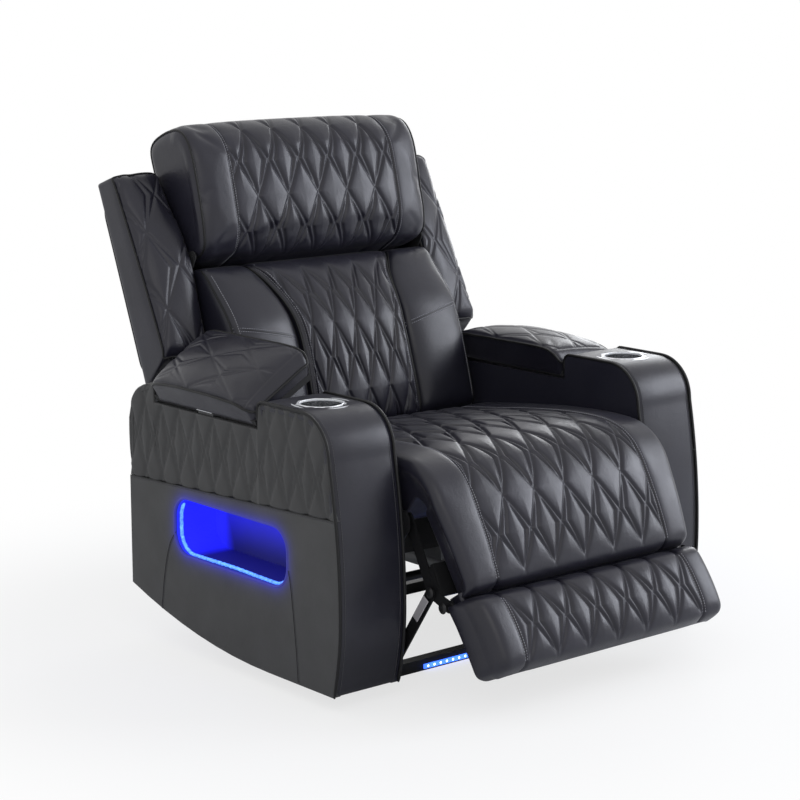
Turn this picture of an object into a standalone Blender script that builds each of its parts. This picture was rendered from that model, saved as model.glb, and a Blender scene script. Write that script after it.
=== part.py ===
"""Power recliner chair: upholstered arms with storage, cup holders and lit niches, a quilted seat that
rolls over into a calf pad and footrest, a reclining back with a tilting headrest, on a steel base."""
import math

import bmesh
import bpy
from mathutils import Vector

for old in list(bpy.context.scene.objects):
    bpy.data.objects.remove(old, do_unlink=True)

# Working clearances
GAP = 0.0003
RUNNING_GAP = 0.001
PIN_CLEARANCE = 0.0005
OVERRUN = 0.01

# Chair and arms
CHAIR_WIDTH = 0.98
ARM_WIDTH = 0.16
ARM_DEPTH = 0.676
ARM_TOP = 0.562
FOOT_CLEARANCE = 0.03
FRONT_BOW = 0.019
BOW_HEIGHT = 0.18
FRONT_LEAN = 0.031
FRONT_CORNER = 0.082
REAR_CORNER = 0.08
TAIL_START = 0.2
TAIL_RISE = 0.082
PANEL = 0.018
COVER = 0.014
PLATEAU_END = 0.228
PLATEAU_ROUND = 0.012
REAR_DROP_SHARE = 0.2

# Quilted band on the outside of each arm
BAND_DROP = 0.189
BAND_SEAM_FRONT = ARM_TOP - BAND_DROP
BAND_FALL = 0.031
BAND_SEAM_REAR = BAND_SEAM_FRONT - BAND_FALL
BAND_THICKNESS = 0.011
BAND_RELIEF = 0.004
BAND_DIAMOND_WIDTH = 0.074
BAND_DIAMOND_HEIGHT = 0.14

# Lit niche in each arm
NICHE_FRONT = 0.141
NICHE_LAND = 0.163
NICHE_LENGTH = ARM_DEPTH - NICHE_FRONT - NICHE_LAND
NICHE_BOTTOM = 0.209
NICHE_HEIGHT = 0.119
NICHE_CORNER = 0.045
NICHE_DEPTH = 0.104
NICHE_WALL = 0.003
NICHE_LIP = 0.0015
LIGHT_WIDTH = 0.01
LIGHT_HEIGHT = 0.004

# Storage tray and lid of each arm
LID_SINK = 0.052
LID_SEAT = ARM_TOP - LID_SINK
LID_GAP = 0.004
REAR_LAND = 0.092
LID_LENGTH = ARM_DEPTH - PLATEAU_END - LID_GAP - REAR_LAND
LID_LIFT = 0.0055
LID_BOARD = 0.012
LID_INSET = 0.003
LID_BOXING = 0.042
LID_CROWN = 0.024
LID_NOSE = 0.05
LID_END_SHARE = 0.55
LID_ROUND_SHARE = 0.1
LID_NOSE_SHARE = 0.35
LID_OPEN_ANGLE = math.radians(30)
HINGE_INSET = 0.006
HINGE_RISE = 0.003
KNUCKLE_RADIUS = 0.003
KNUCKLE_LENGTH = 0.05
HINGE_PIN = 0.0012
HINGE_PIN_LENGTH = 0.06
TRAY_WALL = 0.003
TRAY_FLANGE = 0.0025
TRAY_DEPTH = 0.15
TRAY_SEAT = 0.012

# Cup holder of each arm
CUP_PLACE = 0.132
CUP_RADIUS = 0.045
CUP_WALL = 0.0015
CUP_DEPTH = 0.075
RING_RADIUS = 0.058
RING_HEIGHT = 0.003
RING_BORE = 0.041
SCALLOP_RADIUS = 0.014
SCALLOP_REACH = 0.066
SCALLOPS = 4

# Back's pivot, ahead of the arms' rear, and the chair's middle from front to back
BACK_SETBACK = 0.116
BACK_Y = ARM_DEPTH - BACK_SETBACK
BACK_Z = 0.32
BACK_ANGLE = math.radians(22)
MIDDLE_SETBACK = 0.03
MIDDLE_Y = BACK_Y / 2 + MIDDLE_SETBACK

# Seat cushion, which rolls over the calf pad's hinge
LINKAGE_ROOM = 0.025
PAD_HALF_WIDTH = CHAIR_WIDTH / 2 - ARM_WIDTH - LINKAGE_ROOM
ROLL_Y = -0.012
ROLL_Z = 0.352
ROLL_RADIUS = 0.088
ROLL_THICKNESS = 0.05
ROLL_SWEEP = math.radians(118)
SEAT_SETBACK = 0.092
SEAT_REAR = BACK_Y - SEAT_SETBACK
SEAT_SAG = 0.015
SEAT_CROWN = 0.014
QUILT_BORDER = 0.085
QUILT_HALF_WIDTH = PAD_HALF_WIDTH - QUILT_BORDER
DIAMOND_WIDTH = 0.08
DIAMOND_HEIGHT = 0.15
QUILT_DEPTH = 0.006
SIDE_DRAW = 0.006
EDGE_ROUND = 0.012

# Calf pad and footrest
CALF_ANGLE = math.radians(63)
CALF_LENGTH = 0.178
CALF_START = 0.046
CALF_INNER = 0.03
CALF_CROWN = 0.008
CALF_CLEARANCE = 0.004
CALF_SHOULDER_SHARE = 0.8
CALF_TOE_SHARE = 0.45
BOARD = 0.012
CALF_BOARD_START = 0.098
CALF_BOARD_END = 0.162
FOOT_PIVOT_ALONG = 0.185
FOOT_PIVOT_OUT = 0.035
FOOT_ANGLE = math.radians(56)
FOOT_LENGTH = 0.156
FOOT_START = 0.009
FOOT_STANDOFF = 0.02
FOOT_THICKNESS = 0.045
FOOT_CROWN = 0.01
FOOT_END_SHARE = 0.5
FOOT_ROUND_SHARE = 0.22

# Legrest linkage: flat bars stacked outwards from the pads
BAR = 0.004
BAR_WIDTH = 0.024
BRACKET_WIDTH = 0.019
BAR_STEP = 0.005
PIVOT_RADIUS = 0.005
LINK_LENGTH = 0.15
LINK_BACK = 0.1
LINK_DOWN = 0.15
TUBE_RADIUS = 0.009
CRANK_LENGTH = 0.07
CRANK_TRAIL = math.radians(17.5)

# Side plates and seat frame
PLATE = 0.004
PLATE_MARGIN = 0.018
PLATE_TOP = 0.335
RAIL = 0.025
RAIL_WALL = 0.002
FRONT_RAIL_Y = 0.11
SPRING_WIRE = 0.004
SPRING_SWING = 0.02
SPRING_PITCH = 0.03
SPRING_SPREAD_SHARE = 0.8
SPRINGS = 5

# Base
BASE_FRONT = 0.088
BASE_SETBACK = 0.012
BASE_LENGTH = BACK_Y - BASE_FRONT - BASE_SETBACK
BASE_HEIGHT = 0.024
BASE_WIDTH = 0.024
TILT_SETBACK = 0.02
TILT_Y = BACK_Y / 2 + TILT_SETBACK
TILT_Z = 0.13
TILT_RADIUS = 0.008
UPRIGHT_HALF = 0.05
STRIP_HALF = 0.19
STRIP_HEIGHT = 0.009
STRIP_THICKNESS = 0.003
STRIP_LIFT = 0.004
INLET_WIDTH = 0.03
INLET_HEIGHT = 0.02
INLET_DEPTH = 0.018
INLET_BORE = 0.0045
INLET_OFFSET = 0.18

# Actuators
ACTUATOR_TUBE_RADIUS = 0.016
ROD_RADIUS = 0.007
ROD_LENGTH = 0.2
ROD_EYE = 0.012
MOTOR_RADIUS = 0.024
MOTOR_LENGTH = 0.11
GEARBOX = 0.056
LEGREST_ACTUATOR_X = 0.03
RECLINE_ACTUATOR_X = -0.12
RECLINE_LEVER = 0.075

# Back, in its own frame: up along the back, forward out of it
BACK_NARROWING = 0.005
BACK_HALF_WIDTH = PAD_HALF_WIDTH - BACK_NARROWING
BACK_END_SHARE = 0.7
BACK_ROUND_SHARE = 0.14
BATTEN_TOP = 0.645
BATTEN_INSET = 0.125
BATTEN_PLACE = PAD_HALF_WIDTH - BATTEN_INSET
BATTEN_WIDTH = 0.025
BACK_FRAME_REAR = -0.035
BACK_FRAME_THICKNESS = 0.02
BACK_OPENING_MARGIN = 0.06
SLOT_SHARE = 0.5
LUMBAR_BOTTOM = 0.09
LUMBAR_TOP = 0.446
BOLSTER_WIDTH = 0.1
LUMBAR_SHOULDER = BACK_HALF_WIDTH - BOLSTER_WIDTH
LUMBAR_NARROWING = 0.055
LUMBAR_WAIST = LUMBAR_SHOULDER - LUMBAR_NARROWING
LUMBAR_WAIST_SHARE = 0.25
LUMBAR_FRONT = 0.118
LUMBAR_BELLY = 0.014
LUMBAR_TOP_FRONT = 0.078
BOLSTER_FRONT = 0.098
BOLSTER_TOP_FRONT = 0.072
BOLSTER_CROWN = 0.012
WING_INSET = 0.056
WING_HALF_WIDTH = CHAIR_WIDTH / 2 - WING_INSET
WING_END_SHARE = 0.75
WING_ROUND_SHARE = 0.05
WING_QUILT_SHARE = 0.7
WING_TOP = 0.672
WING_SINK = 0.002
WING_REAR_BOTTOM = ARM_TOP - BACK_Z - WING_SINK
WING_SLANT = 0.045
WING_FRONT_BOTTOM = WING_REAR_BOTTOM + WING_SLANT
WING_FRONT_LOW = 0.045
WING_FRONT_HIGH = 0.01
WING_REAR = -0.06
WING_CROWN = 0.008
COVER_THICKNESS = 0.012
COVER_INSET = 0.009
COVER_HALF_WIDTH = WING_HALF_WIDTH - COVER_INSET
COVER_BOTTOM = WING_REAR_BOTTOM

# Headrest, in the back's frame
HEAD_HALF_WIDTH = BACK_HALF_WIDTH
HEAD_BORDER = 0.06
HEAD_PIVOT_UP = 0.478
HEAD_PIVOT_OUT = 0.052
HEAD_BOTTOM = 0.464
HEAD_TOP = 0.757
HEAD_FRONT_HIGH = 0.125
HEAD_REAR = -0.028
HEAD_CROWN = 0.008
HEAD_FRAME = 0.012

# Controls on the inner face of the left arm
CONTROL_Y = 0.13
CONTROL_SINK = 0.062
CONTROL_Z = ARM_TOP - CONTROL_SINK
CONTROL_LENGTH = 0.09
CONTROL_HEIGHT = 0.04
CONTROL_THICKNESS = 0.006
ROCKER_LENGTH = 0.026
ROCKER_HEIGHT = 0.018
ROCKER_PROUD = 0.0025
ROCKER_GAP = 0.0012
RECLINE_ROCKER_SHARE = 0.28
HEADREST_ROCKER_SHARE = 0.72

ARC_STEPS = 6
ROUND_STEPS = 24
SMALL_STEPS = 12


def material(name, colour, roughness, metallic=0.0, glow=0.0):
    """One Principled material."""
    made = bpy.data.materials.get(name) or bpy.data.materials.new(name)
    made.use_nodes = True
    shader = made.node_tree.nodes["Principled BSDF"]
    shader.inputs["Base Color"].default_value = (*colour, 1.0)
    shader.inputs["Roughness"].default_value = roughness
    shader.inputs["Metallic"].default_value = metallic
    if glow:
        shader.inputs["Emission Color"].default_value = (*colour, 1.0)
        shader.inputs["Emission Strength"].default_value = glow
    made.diffuse_color = (*colour, 1.0)
    return made


FINISHES = {
    "leather": ((0.048, 0.049, 0.062), 0.38, 0.0, 0.0),
    "side_leather": ((0.043, 0.043, 0.046), 0.48, 0.0, 0.0),
    "lined_board": ((0.016, 0.015, 0.015), 0.85, 0.0, 0.0),
    "black_steel": ((0.012, 0.012, 0.013), 0.42, 0.8, 0.0),
    "spring_steel": ((0.35, 0.36, 0.38), 0.35, 1.0, 0.0),
    "chrome": ((0.8, 0.81, 0.83), 0.18, 1.0, 0.0),
    "grey_plastic": ((0.19, 0.2, 0.21), 0.5, 0.0, 0.0),
    "black_plastic": ((0.02, 0.02, 0.022), 0.35, 0.0, 0.0),
    "blue_light": ((0.02, 0.08, 1.0), 0.4, 0.0, 2.0),
}


def mount(obj, finish, carrier=None):
    """Give an object its own material and hang it on its joint's empty."""
    obj.data.materials.clear()
    obj.data.materials.append(material(obj.name, *FINISHES[finish]))
    if carrier is not None:
        hang(obj, carrier)
    return obj


def hang(obj, carrier):
    """Hang an object, with the tools that shape it, on an empty."""
    obj.parent = carrier
    for step in obj.modifiers:
        hang(step.object, carrier)


def mesh_object(name, points, faces, smooth=False):
    """A closed mesh with its faces pointing out."""
    mesh = bpy.data.meshes.new(name)
    mesh.from_pydata([tuple(p) for p in points], [], faces)
    shape = bmesh.new()
    shape.from_mesh(mesh)
    bmesh.ops.recalc_face_normals(shape, faces=shape.faces[:])
    shape.to_mesh(mesh)
    shape.free()
    if smooth:
        mesh.shade_smooth()
        mesh.set_sharp_from_angle(angle=math.radians(40))
    obj = bpy.data.objects.new(name, mesh)
    bpy.context.scene.collection.objects.link(obj)
    return obj


def place(axis, along, first, second):
    """A point from its place along an axis and the two coordinates across it."""
    if axis == "x":
        return (along, first, second)
    if axis == "y":
        return (first, along, second)
    return (first, second, along)


def prism(name, outline, low, high, axis="x", smooth=False):
    """An outline extruded between two places along an axis."""
    count = len(outline)
    points = [place(axis, low, *p) for p in outline] + [place(axis, high, *p) for p in outline]
    faces = [tuple(range(count)), tuple(range(count, 2 * count))]
    for i in range(count):
        j = (i + 1) % count
        faces.append((i, j, j + count, i + count))
    return mesh_object(name, points, faces, smooth)


def box(name, low, high):
    """A box between two corners."""
    outline = [(low[1], low[2]), (high[1], low[2]), (high[1], high[2]), (low[1], high[2])]
    return prism(name, outline, low[0], high[0])


def circle(centre, radius, steps=ROUND_STEPS):
    """Points round a circle."""
    return [(centre[0] + radius * math.cos(2 * math.pi * i / steps),
             centre[1] + radius * math.sin(2 * math.pi * i / steps)) for i in range(steps)]


def cylinder(name, centre, radius, low, high, axis="x", steps=ROUND_STEPS):
    """A round bar along an axis."""
    return prism(name, circle(centre, radius, steps), low, high, axis, smooth=True)


def rounded_box(low_a, high_a, low_b, high_b, radius, steps=ARC_STEPS):
    """The outline of a rectangle with round corners."""
    corners = ((high_a - radius, low_b + radius, -90), (high_a - radius, high_b - radius, 0),
               (low_a + radius, high_b - radius, 90), (low_a + radius, low_b + radius, 180))
    points = []
    for a, b, start in corners:
        for i in range(steps + 1):
            angle = math.radians(start + 90 * i / steps)
            points.append((a + radius * math.cos(angle), b + radius * math.sin(angle)))
    return points


def slot_bar(start, end, width, steps=SMALL_STEPS):
    """The outline of a flat bar with round ends at two pivots."""
    along = Vector(end) - Vector(start)
    turn = math.atan2(along.y, along.x)
    points = []
    for centre, begin in ((end, turn - math.pi / 2), (start, turn + math.pi / 2)):
        for i in range(steps + 1):
            angle = begin + math.pi * i / steps
            points.append((centre[0] + width / 2 * math.cos(angle), centre[1] + width / 2 * math.sin(angle)))
    return points


def combine(target, other, operation):
    """A Boolean with a hidden tool object."""
    other.hide_render = True
    other.display_type = "WIRE"
    if other.parent is None:
        other.parent = target.parent
    step = target.modifiers.new(other.name, "BOOLEAN")
    step.operation = operation
    step.object = other
    step.solver = "EXACT"
    return target


def cut(target, *tools):
    """Cut tools out of a target."""
    for tool in tools:
        combine(target, tool, "DIFFERENCE")
    return target


def weld(target, *tools):
    """Join tools to a target as one solid."""
    for tool in tools:
        combine(target, tool, "UNION")
    return target


def joint_frame(name, location, turn=(0.0, 0.0, 0.0), carrier=None):
    """An empty on a joint's axis."""
    empty = bpy.data.objects.new(name, None)
    empty.location = location
    empty.rotation_euler = turn
    empty.parent = carrier
    bpy.context.scene.collection.objects.link(empty)
    return empty


def pillow(across, along, width, height):
    """Relief of a quilted diamond: 0 on its seams and 1 at its middle."""
    first = across / width + along / height
    second = across / width - along / height
    nearest = min(abs(first - round(first)), abs(second - round(second)))
    return math.sin(math.pi * nearest)


def seam_diagonal(i, j):
    """Whether a grid cell's seam runs from its low corner to its high one."""
    if (i + j + 1) % 4 == 0:
        return False
    if (i - j) % 4 == 0:
        return True
    return (i + j) % 2 == 0


def path_lengths(path):
    """Distance along a path at each of its points."""
    total = [0.0]
    for a, b in zip(path, path[1:]):
        total.append(total[-1] + math.hypot(b[0] - a[0], b[1] - a[1]))
    return total


# Shares that shape a cushion's crown and its round edges
CROWN_POWER = 0.6
CROWN_SIDE_POWER = 2.4
EDGE_SHARE = 0.9


def sampled(stations, step):
    """Stations taken again at an even step along the outer path, with one more near each end."""
    lengths = path_lengths([s[0] for s in stations])
    total = lengths[-1]
    count = max(2, round(total / step))
    near = min(EDGE_ROUND, total / count) / 2
    wanted = sorted([total * i / count for i in range(count + 1)] + [near, total - near])
    made = []
    for length in wanted:
        j = max(0, min(len(stations) - 2, sum(1 for d in lengths[1:] if d < length)))
        share = (length - lengths[j]) / (lengths[j + 1] - lengths[j])
        first, second = stations[j], stations[j + 1]
        made.append((mix(first[0], second[0], share), mix(first[1], second[1], share),
                     first[2] + (second[2] - first[2]) * share, first[3] + (second[3] - first[3]) * share))
    return made, wanted, total / count


def mix(first, second, share):
    """A point between two points."""
    return tuple(a + (b - a) * share for a, b in zip(first, second))


def pad(name, stations, crown, quilt=None, draw=SIDE_DRAW, columns=8, crown_end_share=1.0):
    """A cushion lofted along stations of (outer point, inner point, low x, high x).

    The outer surface has a crown that falls to its edges, and diamonds where quilt gives
    (half width, diamond width, diamond height, depth). The sides draw in at mid height and length.
    """
    if quilt:
        stations, lengths, pitch = sampled(stations, quilt[2] / 4)
    else:
        lengths = path_lengths([s[0] for s in stations])
        pitch = lengths[-1] / len(lengths)
    points = []
    rows = []
    columns_at = []
    for j, (outer, inner, low, high) in enumerate(stations):
        share = lengths[j] / lengths[-1]
        ends = math.sin(math.pi * min(1.0, max(0.0, share))) ** CROWN_POWER
        swell = max(0.0, math.sin(math.pi * min(1.0, share / crown_end_share))) ** CROWN_POWER
        top = Vector((0.0, *outer))
        base = Vector((0.0, *inner))
        depth = (top - base).length
        direction = (top - base).normalized()
        low_side = low + draw * ends
        high_side = high - draw * ends
        middle = (low_side + high_side) / 2
        half = (high_side - low_side) / 2
        grid = surface_columns(middle, half, quilt, columns)
        rounding = min(EDGE_ROUND, depth / 3)
        row = [base + Vector((low_side, 0.0, 0.0)),
               base + direction * depth / 2 + Vector((low_side + draw, 0.0, 0.0)),
               top - direction * rounding + Vector((low_side, 0.0, 0.0))]
        for x in grid[1:-1]:
            side_share = abs(x - middle) / half
            height = crown * swell * (1 - side_share ** CROWN_SIDE_POWER)
            height -= rounding * max(0.0, side_share - EDGE_SHARE) / (1 - EDGE_SHARE)
            if quilt and abs(x - middle) <= quilt[0]:
                relief = 1 - pillow(x - middle, lengths[j] / pitch, quilt[1], 4)
                height -= quilt[3] * relief * min(1.0, 3 * ends)
            row.append(top + direction * height + Vector((x, 0.0, 0.0)))
        row += [top - direction * rounding + Vector((high_side, 0.0, 0.0)),
                base + direction * depth / 2 + Vector((high_side - draw, 0.0, 0.0)),
                base + Vector((high_side, 0.0, 0.0))]
        rows.append(list(range(len(points), len(points) + len(row))))
        columns_at.append((len(row) - 1) // 2)
        points += row
    faces = [tuple(rows[0]), tuple(reversed(rows[-1]))]
    for j in range(len(rows) - 1):
        along = math.floor(lengths[j] / pitch + EDGE_SHARE / 4)
        for i in range(len(rows[j])):
            k = (i + 1) % len(rows[j])
            a, b, c, d = rows[j][i], rows[j][k], rows[j + 1][k], rows[j + 1][i]
            if seam_diagonal(i - columns_at[j], along):
                faces += [(a, b, c), (a, c, d)]
            else:
                faces += [(a, b, d), (b, c, d)]
    return mesh_object(name, points, faces, smooth=True)


def surface_columns(middle, half, quilt, columns):
    """Places across a pad: its edges, and a quarter diamond apart where it is quilted."""
    if not quilt:
        return [middle - half + 2 * half * i / columns for i in range(columns + 1)]
    step = quilt[1] / 4
    count = math.floor(min(quilt[0], half - step / 2) / step + EDGE_SHARE / 10)
    inner = [middle + step * i for i in range(-count, count + 1)]
    border = (inner[-1] - middle + half) / 2
    return [middle - half, middle - border, *inner, middle + border, middle + half]


def ease(share):
    """A smooth rise from 0 to 1."""
    return share * share * (3 - 2 * share)


def round_ends(share, reach_share=0.12):
    """1 along a pad, falling to 0 at its two ends along a round shoulder."""
    near = min(share, 1 - share) / reach_share
    if near >= 1:
        return 1.0
    return math.sqrt(max(0.0, 1 - (1 - near) ** 2))


def smooth_path(points, spans=4):
    """A smooth curve through a few points."""
    ends = [points[0], *points, points[-1]]
    path = []
    for a, b, c, d in zip(ends, ends[1:], ends[2:], ends[3:]):
        for i in range(spans):
            t = i / spans
            path.append(tuple(0.5 * (2 * q + (r - p) * t + (2 * p - 5 * q + 4 * r - s) * t * t
                                     + (3 * q - p - 3 * r + s) * t ** 3) for p, q, r, s in zip(a, b, c, d)))
    path.append(tuple(points[-1]))
    return path


def offset_path(path, distance):
    """A path moved sideways, to its right as it runs."""
    moved = []
    for i, point in enumerate(path):
        before = path[max(0, i - 1)]
        after = path[min(len(path) - 1, i + 1)]
        run = Vector((after[0] - before[0], after[1] - before[1])).normalized()
        reach = distance
        if 0 < i < len(path) - 1:
            first = Vector((point[0] - before[0], point[1] - before[1])).normalized()
            reach = distance / max(0.5, run.dot(first))
        moved.append((point[0] + run.y * reach, point[1] - run.x * reach))
    return moved


def bent_bar(path, width, steps=SMALL_STEPS):
    """The outline of a flat bar that bends through several points, with round ends."""
    outline = offset_path(path, width / 2)
    for centre, before in ((path[-1], path[-2]), (path[0], path[1])):
        turn = math.atan2(centre[1] - before[1], centre[0] - before[0])
        for i in range(1, steps):
            angle = turn - math.pi / 2 + math.pi * i / steps
            outline.append((centre[0] + width / 2 * math.cos(angle),
                            centre[1] + width / 2 * math.sin(angle)))
        if centre == path[-1]:
            outline += offset_path(path, -width / 2)[::-1]
    return outline


def span(side, low, high):
    """A stretch across the chair, mirrored for the left side."""
    return sorted((side * low, side * high))


def rotated(point, angle):
    """A (y, z) point turned about the X axis."""
    c, s = math.cos(angle), math.sin(angle)
    return (point[0] * c - point[1] * s, point[0] * s + point[1] * c)


# Places worked out from the sizes
HALF = CHAIR_WIDTH / 2
ARM_INNER = HALF - ARM_WIDTH
ARM_MIDDLE = HALF - ARM_WIDTH / 2
REAR_TOP = ARM_TOP - REAR_DROP_SHARE * FRONT_CORNER
LID_REAR = PLATEAU_END + LID_GAP + LID_LENGTH
LID_BASE = LID_SEAT + LID_LIFT
SIDES = {"left": -1, "right": 1}


def arm_front_curve():
    """The bowed front of an arm, from its foot up to the flat top."""
    points = [(0.0, FOOT_CLEARANCE)]
    for i in range(1, 4):
        share = i / 3
        rise = (BOW_HEIGHT - FOOT_CLEARANCE) * share
        points.append((-FRONT_BOW * math.sin(math.pi / 2 * share), FOOT_CLEARANCE + rise))
    corner_foot = ARM_TOP - FRONT_CORNER
    for i in range(1, 6):
        share = i / 5
        height = BOW_HEIGHT + (corner_foot - BOW_HEIGHT) * share
        points.append((-FRONT_BOW + FRONT_LEAN * share * share, height))
    centre = (FRONT_LEAN - FRONT_BOW + FRONT_CORNER, corner_foot)
    for i in range(1, ARC_STEPS + 2):
        angle = math.pi - math.pi / 2 * i / (ARC_STEPS + 1)
        points.append((centre[0] + FRONT_CORNER * math.cos(angle),
                       centre[1] + FRONT_CORNER * math.sin(angle)))
    return points


def arm_cover_curve():
    """The front curve, the flat top and the step down to the lid's seat."""
    points = arm_front_curve()
    for i in range(4):
        angle = math.pi / 2 - math.pi / 2 * i / 3
        points.append((PLATEAU_END - PLATEAU_ROUND + PLATEAU_ROUND * math.cos(angle),
                       ARM_TOP - PLATEAU_ROUND + PLATEAU_ROUND * math.sin(angle)))
    points.append((PLATEAU_END, LID_SEAT))
    return points


def tail_height(y):
    """Height of an arm's bottom edge, which rises to the rear."""
    share = max(0.0, (y - TAIL_START) / (ARM_DEPTH - TAIL_START))
    return FOOT_CLEARANCE + TAIL_RISE * share * share


def arm_rear_curve():
    """The rear of an arm, from the lid's seat over the round corner and down."""
    points = [(LID_REAR, LID_SEAT), (LID_REAR, REAR_TOP)]
    centre = (ARM_DEPTH - REAR_CORNER, REAR_TOP - REAR_CORNER)
    for i in range(ARC_STEPS + 1):
        angle = math.pi / 2 - math.pi / 2 * i / ARC_STEPS
        points.append((centre[0] + REAR_CORNER * math.cos(angle), centre[1] + REAR_CORNER * math.sin(angle)))
    points.append((ARM_DEPTH, tail_height(ARM_DEPTH)))
    return points


def arm_outline():
    """The side outline of an arm."""
    points = arm_cover_curve() + arm_rear_curve()
    for i in range(1, 9):
        y = ARM_DEPTH + (TAIL_START - ARM_DEPTH) * i / 8
        points.append((y, tail_height(y)))
    return points


def strip(name, curve, thickness, low, high):
    """A bent panel that follows a curve."""
    return prism(name, curve + offset_path(curve, thickness)[::-1], low, high, smooth=True)


def above_seam(name, side, low, high):
    """The region of an arm's side above the quilted band's seam."""
    reach = OVERRUN
    top = ARM_TOP + reach
    front = -FRONT_BOW - reach
    rear = ARM_DEPTH + reach
    outline = [(front, BAND_SEAM_FRONT), (rear, BAND_SEAM_REAR), (rear, top), (front, top)]
    return prism(name, outline, *span(side, low, high))


def quilted_band(name, side):
    """The quilted band: a slab with diamonds in relief, trimmed to the arm's outline."""
    step_y = BAND_DIAMOND_WIDTH / 4
    step_z = BAND_DIAMOND_HEIGHT / 4
    columns = math.ceil((ARM_DEPTH + 2 * FRONT_BOW) / step_y) + 2
    rows = math.ceil((ARM_TOP - BAND_SEAM_REAR) / step_z) + 2
    start = (-FRONT_BOW - step_y, BAND_SEAM_REAR - step_z)
    base = HALF - BAND_THICKNESS
    points = []
    for level in (0, 1):
        for j in range(rows + 1):
            for i in range(columns + 1):
                swell = pillow(step_y * i, step_z * j, BAND_DIAMOND_WIDTH, BAND_DIAMOND_HEIGHT)
                x = HALF - BAND_RELIEF * (1 - swell) if level else base
                points.append((side * x, start[0] + step_y * i, start[1] + step_z * j))
    wide = columns + 1
    top = wide * (rows + 1)
    faces = []
    for j in range(rows):
        for i in range(columns):
            a = top + j * wide + i
            b, c, d = a + 1, a + 1 + wide, a + wide
            faces += [(a, b, c), (a, c, d)] if seam_diagonal(i, j) else [(a, b, d), (b, c, d)]
    rim = [i for i in range(wide)]
    rim += [wide * j + columns for j in range(1, rows + 1)]
    rim += [wide * rows + i for i in range(columns - 1, -1, -1)]
    rim += [wide * j for j in range(rows - 1, 0, -1)]
    faces.append(tuple(rim))
    for a, b in zip(rim, rim[1:] + rim[:1]):
        faces.append((a, b, b + top, a + top))
    used = sorted({v for f in faces for v in f})
    place_of = {v: k for k, v in enumerate(used)}
    band = mesh_object(name, [points[v] for v in used], [tuple(place_of[v] for v in f) for f in faces])
    trim = prism(name + "_outline", arm_outline(), *span(side, base - OVERRUN, HALF + OVERRUN))
    combine(band, trim, "INTERSECT")
    cut(band, below_seam(name + "_seam", side, base - OVERRUN, HALF + OVERRUN))
    return band


def below_seam(name, side, low, high):
    """The region of an arm's side below the quilted band, a gap above the seam."""
    reach = OVERRUN
    bottom = BAND_SEAM_REAR - BAND_DIAMOND_HEIGHT
    front = -FRONT_BOW - BAND_DIAMOND_WIDTH
    rear = ARM_DEPTH + BAND_DIAMOND_WIDTH
    slope = (BAND_SEAM_FRONT - BAND_SEAM_REAR) / (ARM_DEPTH + FRONT_BOW + 2 * reach)
    lift = GAP
    front_seam = BAND_SEAM_FRONT + slope * (-FRONT_BOW - reach - front) + lift
    rear_seam = BAND_SEAM_REAR - slope * (rear - ARM_DEPTH - reach) + lift
    outline = [(front, bottom), (rear, bottom), (rear, rear_seam), (front, front_seam)]
    return prism(name, outline, *span(side, low, high))


def niche_outline(grow):
    """The round-ended opening of a niche."""
    return rounded_box(NICHE_FRONT - grow, NICHE_FRONT + NICHE_LENGTH + grow, NICHE_BOTTOM - grow,
                       NICHE_BOTTOM + NICHE_HEIGHT + grow, NICHE_CORNER + grow)


def make_arm(label, side):
    """One arm: panels, quilted band, covers, niche, tray and cup holder."""
    name = "arm_" + label
    outer = prism(f"{name}_outer_panel", arm_outline(), *span(side, HALF - PANEL, HALF))
    cut(outer, above_seam(f"{name}_band_recess", side, HALF - BAND_THICKNESS - GAP, HALF + OVERRUN),
        prism(f"{name}_niche_hole", niche_outline(NICHE_WALL + GAP), *span(side, HALF - PANEL - OVERRUN,
                                                                         HALF + OVERRUN)))
    mount(outer, "side_leather")
    mount(quilted_band(f"{name}_quilted_band", side), "side_leather")
    inner = prism(f"{name}_inner_panel", arm_outline(), *span(side, ARM_INNER, ARM_INNER + PANEL))
    mount(inner, "side_leather")
    low, high = span(side, ARM_INNER + PANEL + GAP, HALF - PANEL - GAP)
    front = strip(f"{name}_front_cover", arm_cover_curve(), COVER, low, high)
    middle = side * ARM_MIDDLE
    cup_hole = cylinder(f"{name}_cup_hole", (middle, CUP_PLACE), CUP_RADIUS + RUNNING_GAP,
                        ARM_TOP - COVER - OVERRUN, ARM_TOP + OVERRUN, "z")
    mount(cut(front, cup_hole), "leather")
    mount(strip(f"{name}_rear_panel", arm_rear_curve(), COVER, low, high), "side_leather")
    make_niche(name, side)
    make_tray(name, side)
    make_cup_holder(name, middle)


def make_niche(name, side):
    """The lined box behind the opening in the arm's side, and its light."""
    liner = prism(f"{name}_niche_box", niche_outline(NICHE_WALL), *span(side, HALF - NICHE_DEPTH,
                                                                       HALF - NICHE_LIP))
    hollow = prism(f"{name}_niche_hollow", niche_outline(0.0), *span(side, HALF - NICHE_DEPTH + NICHE_WALL,
                                                                    HALF + OVERRUN))
    mount(cut(liner, hollow), "black_plastic")
    light = box(f"{name}_niche_light",
                (span(side, HALF - PANEL + GAP, HALF - PANEL + LIGHT_WIDTH)[0], NICHE_FRONT + NICHE_CORNER,
                 NICHE_BOTTOM + GAP),
                (span(side, HALF - PANEL + GAP, HALF - PANEL + LIGHT_WIDTH)[1],
                 NICHE_FRONT + NICHE_LENGTH - NICHE_CORNER, NICHE_BOTTOM + LIGHT_HEIGHT))
    mount(light, "blue_light")


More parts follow.
